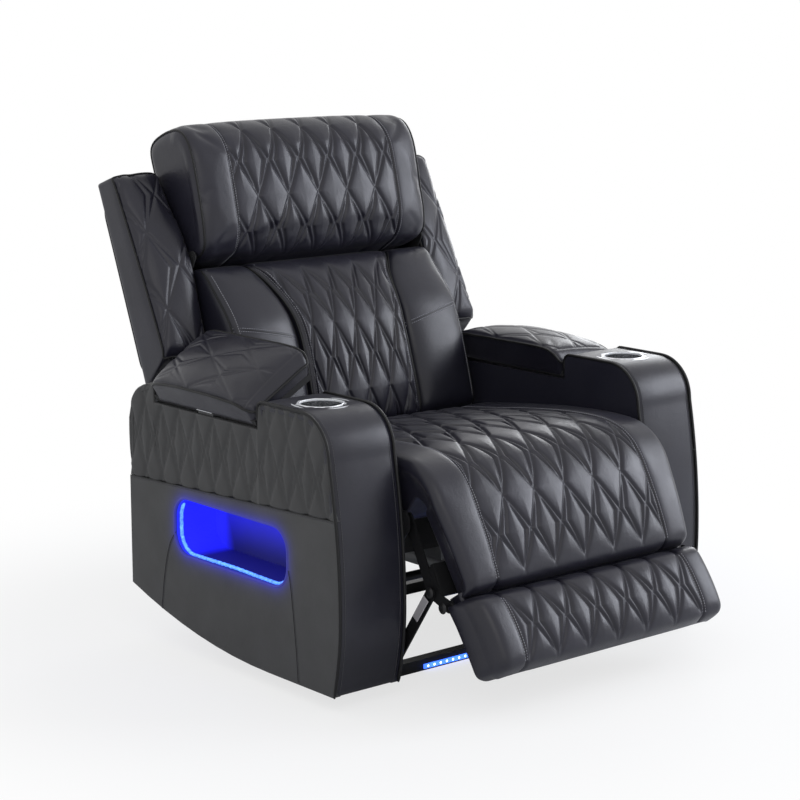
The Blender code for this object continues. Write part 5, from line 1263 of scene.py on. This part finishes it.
front_curve = arm_front()
top_curve = front_curve + [(y, ARM_TOP) for y in np.linspace(0.102, PLATEAU_END - PLATEAU_ROUND, 16)]
for s in np.linspace(0.2, 1.0, 4):
    angle = math.pi / 2 * (1 - s)
    top_curve.append((PLATEAU_END - PLATEAU_ROUND + PLATEAU_ROUND * math.cos(angle),
                      ARM_TOP - PLATEAU_ROUND + PLATEAU_ROUND * math.sin(angle)))
top_curve.append((PLATEAU_END, 0.53))
top_curve.append((PLATEAU_END, LID_SEAT))
top_curve = resample(top_curve, GRID_STEP)
rear_curve = resample(arm_rear(), GRID_STEP)
print("arm outline", len(top_curve), "and", len(rear_curve), "points")

# %% [markdown]
# The front cover is one long strip of leather from the foot over the top to the lid, and the rear cover is a
# second one. Where the cup sits, the strip's faces are taken out before it is rounded.

# %% Arm covers
CUP = (0.41, 0.132)
CUP_OPENING = 0.048
COVER_HALF = 0.0785
COVER_UNDER = 0.013

for label, side in SIDES.items():
    centre = side * (HALF_WIDTH - ARM_WIDTH / 2)
    cover, along = sweep(f"arm_{label}_front_cover_skin", offset_path(top_curve, -0.0015),
                         offset_path(top_curve, COVER_UNDER), COVER_HALF, PLAIN_LEATHER, crown=0.004,
                         side_round=0.006, end_rounds=(0.002, 0.002), tuck=0.0, pull=0.0, centre=centre)
    shape = bmesh.new()
    shape.from_mesh(cover.data)
    cup = Vector((side * CUP[0], CUP[1] - MIDDLE_Y, 0.0))
    inside = [f for f in shape.faces if f.calc_center_median().z > 0.5
              and (f.calc_center_median().xy - cup.xy).length < CUP_OPENING]
    bmesh.ops.delete(shape, geom=inside, context="FACES")
    shape.to_mesh(cover.data)
    shape.free()
    refine(cover)
    cover.data.shade_smooth()
    upholster(cover, f"arm_{label}_front_cover", "seat")
    rear, along = sweep(f"arm_{label}_rear_cover_skin", offset_path(rear_curve, -0.001),
                        offset_path(rear_curve, COVER_UNDER), COVER_HALF, SIDE_LEATHER, crown=0.003,
                        side_round=0.006, end_rounds=(0.002, 0.002), tuck=0.0, pull=0.0, centre=centre)
    refine(rear)
    upholster(rear, f"arm_{label}_rear_panel", "seat")
    print(cover.name, len(cover.data.vertices), "points,", rear.name, len(rear.data.vertices), "points")

# %% [markdown]
# The band on an arm's outside is a sheet that follows the outline above a straight sewn line. Its diamonds are
# smaller and its relief finer than on the seat, so the sheet has its own, closer grid.

# %% Quilted bands on the arms' outsides
BAND_STEP = 0.004
BAND_ROWS = 46
BAND_RELIEF = (0.0038, 0.0012)
BAND_CORNERS = (PLATEAU_END - 0.0005, PLATEAU_END + 0.0005, 0.5835, 0.5845)


def band_seam(y):
    """Height of the sewn line under the quilted band."""
    return SEAM[0] + (SEAM[1] - SEAM[0]) * (y - SEAM_FRONT) / SEAM_LENGTH


def arm_height(y):
    """Height of an arm's outline over a place along it."""
    front = np.array(front_curve)
    front = front[front[:, 1] > SEAM[0] - 0.01]
    if y < 0.094:
        return float(np.interp(y, front[:, 0], front[:, 1]))
    if y <= PLATEAU_END:
        return ARM_TOP
    if y < LID_REAR:
        return LID_SEAT
    if y <= REAR_CORNER:
        return REAR_TOP
    return REAR_TOP - REAR_ROUND + math.sqrt(max(0.0, REAR_ROUND ** 2 - (y - REAR_CORNER) ** 2))


for label, side in SIDES.items():
    places = np.concatenate([np.arange(-0.0115, ARM_REAR, BAND_STEP), [ARM_REAR]])
    places = np.unique(np.concatenate([places, BAND_CORNERS]))
    skin = np.zeros((len(places), BAND_ROWS + 1, 3))
    for i, y in enumerate(places):
        low = band_seam(y) + 0.0006
        skin[i, :, 1] = y
        skin[i, :, 2] = np.linspace(low, max(low + 0.0005, arm_height(y) - 0.0005), BAND_ROWS + 1)
    skin[..., 0] = side * (HALF_WIDTH - 0.0012)
    base = skin.copy()
    base[..., 0] = side * (HALF_WIDTH - 0.0105)
    band = cushion(f"arm_{label}_band_quilting", skin, base, skin[..., 1], skin[..., 2], SIDE_LEATHER, walls=2)
    across, along, outside = (values_of(band, key) for key in ("across", "along", "skin"))
    sunk = np.exp(-seam_distance(across - 0.018, along - 0.366, *BAND_DIAMOND) / 0.005)
    points = points_of(band)
    points[:, 0] -= side * (BAND_RELIEF[0] * sunk - BAND_RELIEF[1]) * outside
    move_points(band, points)
    band.data.shade_smooth()
    upholster(band, f"arm_{label}_quilted_band", "seat")
    print(band.name, len(points), "points")

# %% [markdown]
# Leather covers are sewn from panels. Where two panels meet on an outside edge there is piping, a thin welt
# rolled over a cord, and where they meet on a face there is a groove with a row of stitches beside it. Each
# path below follows the cover's own grid, so it stays on the surface through every bend.

# %% Seams and piping of the seat and the legrest
STITCH_LIFT = 0.0006
SEAM_LIFT = -0.0001
SEAM_RADIUS = 0.0008


def border_rows(piece, places, rows, lift):
    """Paths along a cushion at several places across it."""
    grid = PATTERNS[piece.name][0]
    columns = np.arange(grid.shape[1])
    tree = surface_of(piece)
    return [smooth_path(laid(piece, rows, [np.interp(x, grid[row, :, 0], columns) for row in rows], lift, tree))
            for x in places]


def sewn_border(piece, edge, gap=0.0034):
    """A dark seam line with a row of stitches on each side, at both edges of the quilting."""
    rows = np.arange(2, PATTERNS[piece.name][0].shape[0] - 2)
    line = tubes(piece.name + "_seams", border_rows(piece, (-edge, edge), rows, SEAM_LIFT), SEAM_RADIUS,
                 PIPING_LEATHER, sides=6)
    places = (-edge - gap, -edge + gap, edge - gap, edge + gap)
    return [line, stitches(piece.name + "_stitches", border_rows(piece, places, rows, STITCH_LIFT))]


for part in sewn_border(seat, QUILT_HALF):
    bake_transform(part)
for part in sewn_border(footrest, FOOT_QUILT):
    trim(part, "footrest")
print("seat and footrest sewn")

# %% [markdown]
# The back has the most seams. The lumbar cushion is piped at its edges with two rows of stitches inside, each
# bolster has a cross seam and a row beside the wing, and the headrest has a piped ring at each end and a sewn
# line at each side of its quilting. The wings are piped on their front corners.

# %% Seams and piping of the back
rows = np.arange(1, PATTERNS[lumbar.name][0].shape[0] - 1)
last = PATTERNS[lumbar.name][0].shape[1] - 1
tree = surface_of(lumbar)
edges = [smooth_path(laid(lumbar, rows, c, 0.001, tree)) for c in (0.35, last - 0.35)]
trim(tubes("lumbar_piping", edges, PIPING_RADIUS, PIPING_LEATHER), "back")
threads = [smooth_path(laid(lumbar, rows, c, STITCH_LIFT, tree)) for c in (1.5, 2.3, last - 2.3, last - 1.5)]
trim(stitches("lumbar_stitches", threads), "back")

for label, side in SIDES.items():
    bolster = bpy.data.objects[f"bolster_{label}_cover"]
    grid = PATTERNS[bolster.name][0]
    count, last = grid.shape[0] - 1, grid.shape[1] - 1
    outer_column = last - 0.6 if side > 0 else 0.6
    tree = surface_of(bolster)
    rows = np.arange(1, count)
    edge = smooth_path(laid(bolster, rows, outer_column, 0.001, tree))
    inner_column = last - outer_column
    inner = smooth_path(laid(bolster, rows, inner_column, 0.0006, tree))
    trim(tubes(f"bolster_{label}_piping", [edge, inner], 0.0022, PIPING_LEATHER), "back")
    beside = outer_column - side * 1.2
    cross = np.linspace(inner_column, outer_column, 30)
    where = 0.52 * count + 0.09 * count * np.linspace(0.0, 1.0, 30)
    seam = smooth_path(laid(bolster, where, cross, SEAM_LIFT, tree))
    trim(tube(f"bolster_{label}_cross_seam", seam, SEAM_RADIUS, PIPING_LEATHER, sides=6), "back")
    threads = [smooth_path(laid(bolster, where + k, cross, STITCH_LIFT, tree)) for k in (-0.45, 0.45)]
    threads.append(smooth_path(laid(bolster, rows, beside, STITCH_LIFT, tree)))
    trim(stitches(f"bolster_{label}_stitches", threads), "back")

    wing = bpy.data.objects[f"wing_{label}_cover"]
    trim(tube(f"wing_{label}_piping", edge_loop(wing, lift=0.001), 0.0025, PIPING_LEATHER, closed=True), "back")
print("back sewn")

# %% [markdown]
# On the headrest a row of the grid runs round the bolster. So a piped ring is one whole row near an end, and
# the sewn lines are the front part of a row at each side of the quilting.

# %% Seams and piping of the headrest
tree = surface_of(headrest)
grid = PATTERNS[headrest.name][0]
count, around = grid.shape[0] - 1, grid.shape[1] - 1
rings, seams, threads = [], [], []
front_places = np.arange(1, int(HEAD_FRONT_LENGTH / head_along[-1] * (around - 1)))
for side in SIDES.values():
    ring_row = count / 2 * (1 + side * HEAD_RING / HEAD_HALF)
    rings.append(laid(headrest, ring_row, np.arange(0, around), 0.0008, tree))
    seam_row = count / 2 * (1 + side * HEAD_QUILT / HEAD_HALF)
    seams.append(smooth_path(laid(headrest, seam_row, front_places, SEAM_LIFT, tree)))
    for k in (-0.4, 0.45):
        threads.append(smooth_path(laid(headrest, seam_row + side * k, front_places, STITCH_LIFT, tree)))
trim(tubes("headrest_piping", rings, 0.0025, PIPING_LEATHER, closed=True), "headrest")
trim(tubes("headrest_seams", seams, SEAM_RADIUS, PIPING_LEATHER, sides=6), "headrest")
trim(stitches("headrest_stitches", threads), "headrest")
print("headrest sewn")

# %% [markdown]
# Both edges of an arm's front cover are piped all the way from the foot to the step of the lid, and a row of
# stitches runs 12 mm inside each. The quilted band ends in a sewn line across the arm's outside, and the plain
# panel under it is pieced with two curved seams that start beside the niche.

# %% Seams and piping of the arms
PANEL_FACE = HALF_WIDTH + 0.0004
PIPING_SIDES = (0.4885, 0.3315)
STITCH_INSET = 0.012
SIDE_SEAM_RADIUS = 0.0009

for label, side in SIDES.items():
    cover = bpy.data.objects[f"arm_{label}_front_cover_skin"]
    grid = PATTERNS[cover.name][0]
    rows = np.arange(0, grid.shape[0] - 4)
    last = grid.shape[1] - 1
    tree = surface_of(cover)
    edge = offset_path(top_curve, -0.0022)[:-2]
    pipes = [np.column_stack([np.full(len(edge), side * x), edge]) for x in PIPING_SIDES]
    trim(tubes(f"arm_{label}_piping", pipes, 0.0033, PIPING_LEATHER), "seat")
    inside = STITCH_INSET / (2 * COVER_HALF) * last
    threads = [smooth_path(laid(cover, rows, c, STITCH_LIFT, tree)) for c in (inside, last - inside)]
    trim(stitches(f"arm_{label}_front_stitches", threads, DARK_THREAD), "seat")

    ys = np.linspace(-0.0105, ARM_REAR - 0.001, 90)
    line = np.array([(side * (PANEL_FACE - 0.0006), y, band_seam(y)) for y in ys])
    rear_seam = smooth_curve([(0.512, 0.252), (0.533, 0.225), (0.549, 0.18), (0.560, 0.13), (0.568, 0.078)])
    front_seam = smooth_curve([(0.136, 0.250), (0.129, 0.223), (0.120, 0.16), (0.112, 0.09), (0.107, 0.033)])
    lines = [line] + [np.column_stack([np.full(len(c), side * (PANEL_FACE - 0.0004)), c])
                      for c in (rear_seam, front_seam)]
    trim(tubes(f"arm_{label}_side_seams", lines, SIDE_SEAM_RADIUS, PIPING_LEATHER, sides=6), "seat")
    threads = [line + (side * 0.0006, 0.0, -0.0032)]
    threads += [np.column_stack([np.full(len(c), side * PANEL_FACE), offset_path(c, 0.0028)])
                for c in (rear_seam, front_seam)]
    trim(stitches(f"arm_{label}_side_stitches", threads, DARK_THREAD), "seat")
print("arms sewn")

# %% [markdown]
# The niche in each arm is lit in blue from a soft tube along its sill. Its lining is no lamp: the light on it is
# painted as blue emission, brightest at the top and at its rear end, and a painted blue glow spills onto the leather
# round the opening. A shader can measure the distance to a rounded rectangle, which gives that painted spill
# without any extra lamp.

# %% Niche finishes
NICHE_Y = 0.327
NICHE_MIDDLE = (NICHE_Y - MIDDLE_Y, 0.2685)
NICHE_HALF = (0.186, 0.0595)
NICHE_CORNER = 0.045
GLOW = (0.012, 0.014, 1.0)
SPILL_REACH = 0.009
SPILL_LIGHT = 0.34


def niche_distance(tree, place):
    """Distance outside the niche's rounded opening, from Object coordinates."""
    split = node(tree, "ShaderNodeSeparateXYZ", {0: place}).outputs
    parts = []
    for k in (0, 1):
        off = maths(tree, "ABSOLUTE", maths(tree, "SUBTRACT", split[k + 1], NICHE_MIDDLE[k]))
        parts.append(maths(tree, "MAXIMUM", maths(tree, "SUBTRACT", off, NICHE_HALF[k] - NICHE_CORNER), 0.0))
    square = maths(tree, "ADD", maths(tree, "POWER", parts[0], 2.0), maths(tree, "POWER", parts[1], 2.0))
    return maths(tree, "SUBTRACT", maths(tree, "SQRT", square), NICHE_CORNER)


def glow_from(tree, shader, strength):
    """Blue emission with the strength given by a node."""
    shader.inputs["Emission Color"].default_value = (*GLOW, 1.0)
    tree.links.new(strength, shader.inputs["Emission Strength"])


# Painted light: blue emission on the side leather, fading with distance from the niche's opening, stands in for the
# sill light spilling onto it.
GLOW_PAINTED_LEATHER = leather("leather_with_painted_niche_glow", SIDE_COLOUR, SIDE_ROUGHNESS)
tree = GLOW_PAINTED_LEATHER.node_tree
shader = tree.nodes["Principled BSDF"]
away = niche_distance(tree, node(tree, "ShaderNodeTexCoord").outputs["Object"])
near = maths(tree, "EXPONENT", maths(tree, "MULTIPLY", maths(tree, "MAXIMUM", away, 0.0), -1 / SPILL_REACH))
glow_from(tree, shader, maths(tree, "MULTIPLY", near, SPILL_LIGHT))

# Painted light: the lining is no lamp. Its blue emission, stronger at the top and the rear end, stands in for the
# sill light falling on it.
NICHE_LINING_PAINTED_GLOW, tree, shader, place = finish("niche_lining_painted_glow", (0.02, 0.02, 0.12), 0.6)
split = node(tree, "ShaderNodeSeparateXYZ", {0: place}).outputs
high = node(tree, "ShaderNodeMapRange", {"Value": split[2], "From Min": 0.21, "From Max": 0.325, "To Min": 0.05,
                                         "To Max": 0.75}, interpolation_type="SMOOTHSTEP").outputs["Result"]
painted_rear_glow = node(tree, "ShaderNodeMapRange", {"Value": split[1], "From Min": 0.13, "From Max": 0.185},
                interpolation_type="SMOOTHSTEP").outputs["Result"]
cloud = node(tree, "ShaderNodeTexNoise", {"Vector": place, "Scale": 14.0, "Detail": 2.0}).outputs["Fac"]
level = maths(tree, "MAXIMUM", high, painted_rear_glow)
glow_from(tree, shader, maths(tree, "MULTIPLY", level, maths(tree, "MULTIPLY_ADD", cloud, 0.5, 0.75)))
SILL_LIGHT = glowing("sill_light", (0.09, 0.27, 1.0), 1.25, scale=160.0, drift=0.5)
print("niche glow made")

# %% [markdown]
# The leather rolls over the opening's edge, which a tube round the rounded rectangle shows. The light is a
# soft tube along the sill and up the rear corner, with a slight ripple, as a silicone light strip has.

# %% Niche rims and sill lights
RIM_X = 0.4878
SILL_X = 0.4775

for label, side in SIDES.items():
    rim = []
    for cy, cz, start in ((1, -1, -90), (1, 1, 0), (-1, 1, 90), (-1, -1, 180)):
        for angle in np.radians(np.linspace(start, start + 90, 12)):
            rim.append((NICHE_Y + cy * (NICHE_HALF[0] - NICHE_CORNER) + NICHE_CORNER * math.cos(angle),
                        NICHE_MIDDLE[1] + cz * (NICHE_HALF[1] - NICHE_CORNER) + NICHE_CORNER * math.sin(angle)))
    rim = np.array(rim)
    outward = rim - (NICHE_Y, NICHE_MIDDLE[1])
    outward /= np.linalg.norm(outward, axis=1, keepdims=True)
    roll = np.column_stack([np.full(len(rim), side * RIM_X), rim + 0.003 * outward])
    trim(tube(f"arm_{label}_niche_rim", resample(np.vstack([roll, roll[:1]]), 0.008)[:-1], 0.0036, GLOW_PAINTED_LEATHER,
              sides=10, closed=True), "seat")
    sill = rim[(rim[:, 1] < NICHE_MIDDLE[1] - 0.045) | ((rim[:, 0] > 0.47) & (rim[:, 1] < 0.315))]
    order = np.argsort(np.arctan2(sill[:, 1] - 0.31, sill[:, 0] - 0.33))
    sill = resample(sill[order], 0.006)
    inward = np.array((0.33, 0.29)) - sill
    inward /= np.linalg.norm(inward, axis=1, keepdims=True)
    ripple = 0.0006 * np.sin(np.arange(len(sill)) * 2.4)[:, None]
    path = np.column_stack([np.full(len(sill), side * SILL_X), sill + inward * (0.0042 + ripple)])
    light = tube(f"arm_{label}_sill_light", path, 0.0034, SILL_LIGHT, sides=10)
    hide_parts(f"arm_{label}_niche_light")
    trim(light, "seat")
print("niches lit")

# %% [markdown]
# A row of small lamps shines through the strip on the front rail. Each is a flattened bead with its own bright
# finish. The cup rings are pressed from one sheet, so a fine lip round the bore and a soft edge are enough.

# %% Strip lamps and cup rings
LAMP_PROFILE = ((1.0, 0.0), (0.8, 0.6), (0.35, 1.0))
LIP_RADIUS = 0.0418
LIP_HEIGHT = 0.5652


def domes(name, centres, facing, radius, thick, profile, material, steps):
    """Small round heads as one mesh: a profile of shares of radius and thickness, turned about one direction."""
    facing = np.array(facing, float)
    across = np.array((1.0, 0.0, 0.0) if facing[1] else (0.0, 1.0, 0.0))
    angles = np.arange(steps) * 2 * math.pi / steps
    ring = np.outer(np.cos(angles), across) + np.outer(np.sin(angles), (0.0, 0.0, 1.0))
    points, faces = [], []
    for centre in centres:
        start = len(points) * steps
        points += [centre + facing * thick * lift + radius * grow * ring for grow, lift in profile]
        faces += [tuple(v + start for v in face) for face in ring_faces(len(profile), steps)]
    return mesh_piece(name, np.concatenate(points), faces, material)


lamps = [(x, 0.0848, 0.0085) for x in np.arange(-0.18, 0.185, 0.0165)]
trim(domes("strip_lamps", lamps, (0.0, -1.0, 0.0), 0.0026, 0.0012, LAMP_PROFILE, WHITE_LIGHT, 10), "base")
for label, side in SIDES.items():
    circle = [(side * CUP[0] + LIP_RADIUS * math.cos(a), CUP[1] + LIP_RADIUS * math.sin(a), LIP_HEIGHT)
              for a in np.linspace(0, 2 * math.pi, 49)[:-1]]
    trim(tube(f"arm_{label}_cup_lip", circle, 0.0011, SILVER, closed=True), "seat")
print(len(lamps), "strip lamps")

# %% [markdown]
# The linkage turns on shouldered bolts. Each is a washer and a flat domed head on the outer face of its link, and
# it rides on the link that carries it. The struts have a bare zinc plate with a soft edge.

# %% Bolts and plates of the linkage
BOLT_PROFILE = ((1.0, 0.0), (1.0, 0.22), (0.66, 0.26), (0.64, 0.62), (0.5, 0.86), (0.26, 1.0))
BOLT_RADIUS = 0.011
BOLT_THICK = 0.002
BOLTS = (("legrest_struts", 0.3262, ((0.0199, 0.0683), (-0.0862, 0.2236))),
         ("calf_rest", 0.3292, ((-0.1272, 0.2031),)))
PLATE_ENDS = ((-0.0455, 0.164), (-0.0775, 0.2108))
PLATE_HALF = 0.008
PLATE_X = 0.3263
PLATE_LEVELS = ((0.0, 0.0), (0.0012, 0.0), (0.0016, 0.06))

for body, face, spots in BOLTS:
    for label, side in SIDES.items():
        centres = [(side * face, y, z) for y, z in spots]
        bolts = domes(f"{body}_{label}_bolts", centres, (side, 0.0, 0.0), BOLT_RADIUS, BOLT_THICK, BOLT_PROFILE,
                      BLACK_STEEL, 14)
        trim(bolts, body)
low, high = np.array(PLATE_ENDS)
plate_run = (high - low) / np.linalg.norm(high - low)
plate_out = PLATE_HALF * np.array((plate_run[1], -plate_run[0]))
outline = [low - plate_out, low + plate_out, high + plate_out, high - plate_out]
middle = (low + high) / 2
faces = [(0, 1, 2, 3), (8, 9, 10, 11)]
faces += [(4 * k + i, 4 * k + (i + 1) % 4, 4 * k + 4 + (i + 1) % 4, 4 * k + 4 + i) for k in (0, 1) for i in range(4)]
for label, side in SIDES.items():
    points = [(side * (PLATE_X + lift), *(spot + (middle - spot) * inward))
              for lift, inward in PLATE_LEVELS for spot in outline]
    trim(mesh_piece(f"strut_{label}_plate", points, faces, ZINC, smooth=False), "legrest_struts")
print("linkage trimmed")

# %% [markdown]
# A curtain of lining cloth hangs from the front seat rail and hides the springs and the drive. It is a sheet
# with soft upright folds that grow towards its free lower edge.

# %% Curtain under the seat
CURTAIN_Y = 0.099
CURTAIN_DROP = (0.33, 0.246)
CURTAIN_HALF = 0.321
FOLD_DEPTH = 0.0022
CURTAIN_GRID = (80, 8)

across, down = np.meshgrid(np.linspace(-CURTAIN_HALF, CURTAIN_HALF, CURTAIN_GRID[0] + 1),
                           np.linspace(0.0, 1.0, CURTAIN_GRID[1] + 1))
folds = FOLD_DEPTH * down * np.sin(across * 52.0 + 1.3 * np.sin(across * 19.0))
sheet = np.stack([across, CURTAIN_Y + folds, CURTAIN_DROP[0] - (CURTAIN_DROP[0] - CURTAIN_DROP[1]) * down], axis=-1)
curtain = cushion("seat_front_curtain", sheet, sheet + (0.0, 0.0025, 0.0), across, down, LINING, walls=2)
trim(curtain, "seat")
print("curtain", 2 * CURTAIN_HALF, "m wide")

# %% [markdown]
# The chair's back is closed by a plain padded panel, wide behind the wings and narrow between the arms. It is
# swept up the back like the cushions, a little crowned, with piping round its edge.

# %% Rear cover
REAR_TOP_T = 0.66
steps = np.concatenate([np.linspace(-0.016, 0.23, 28), np.linspace(0.236, 0.272, 7),
                        np.linspace(0.28, REAR_TOP_T, 44)])
half = np.interp(steps, (0.236, 0.268), (0.303, 0.424)) - rounded(REAR_TOP_T - steps, 0.05)
rear_cover, along = sweep("back_rear_cover_padding", [back_point(t, -0.0712) for t in steps],
                          [back_point(t, -0.0604) for t in steps], half, SIDE_LEATHER, crown=0.010,
                          side_round=0.008, end_rounds=(0.008, 0.008), tuck=0.0, pull=0.0)
blow_up(rear_cover, held_share(rear_cover), cap=0.003)
refine(rear_cover)
upholster(rear_cover, "back_rear_cover", "back")
trim(tube("back_rear_piping", edge_loop(rear_cover, lift=0.0008), 0.0026, PIPING_LEATHER, closed=True), "back")
rows = np.arange(2, len(steps) - 2)
last = PATTERNS[rear_cover.name][0].shape[1] - 1
lines = [smooth_path(laid(rear_cover, rows, last * c, SEAM_LIFT)) for c in (0.3, 0.7)]
trim(tubes("back_rear_seams", lines, SIDE_SEAM_RADIUS, PIPING_LEATHER, sides=6), "back")
lines = [smooth_path(laid(rear_cover, rows, last * c, STITCH_LIFT)) for c in (0.292, 0.708)]
trim(stitches("back_rear_stitches", lines, DARK_THREAD), "back")
print("rear cover sewn")

# %% [markdown]
# Every CAD solid that stays in sight keeps its shape and only gets a finish. The arm's panels also get a Bevel
# modifier, because leather drawn over a board never makes a sharp edge.

# %% Finishes of the kept solids
KEPT = ((BLACK_STEEL, ("base_rail", "side_plate", "seat_rail", "drive", "legrest_strut", "calf_frame",
                       "footrest_frame", "recline_lever")),
        (SPRING_STEEL, ("seat_springs",)), (CHROME, ("legrest_rod", "recline_rod")),
        (GREY_PLASTIC, ("legrest_actuator", "recline_actuator", "recline_rocker", "headrest_rocker")),
        (BLACK_PLASTIC, ("control_plate", "power_inlet")), (BLUE_LIGHT, ("light_strip",)),
        (LINING, ("back_frame", "headrest_frame", "lid_left_board", "lid_right_board")))
ARM_KEPT = {"outer_panel": GLOW_PAINTED_LEATHER, "inner_panel": PLAIN_LEATHER, "niche_box": NICHE_LINING_PAINTED_GLOW,
            "storage_tray": BLACK_PLASTIC, "cup": CHROME, "cup_ring": SILVER}
painted = 0
for name, solid in nodes.items():
    material = next((m for m, starts in KEPT if name.startswith(starts)), None)
    if name.startswith("arm_"):
        material = ARM_KEPT.get(name.split("_", 2)[2])
    if material is None:
        continue
    solid.data.materials.clear()
    solid.data.materials.append(material)
    painted += 1
    if name.endswith(("outer_panel", "inner_panel", "cup_ring")) or name.startswith(("lid_", "base_rail")):
        bevel = solid.modifiers.new("soft_edges", "BEVEL")
        bevel.width = 0.0008 if name.endswith("cup_ring") else 0.003
        bevel.segments = 3
        bevel.limit_method = "ANGLE"
        bevel.angle_limit = math.radians(50)
print(painted, "solids finished")
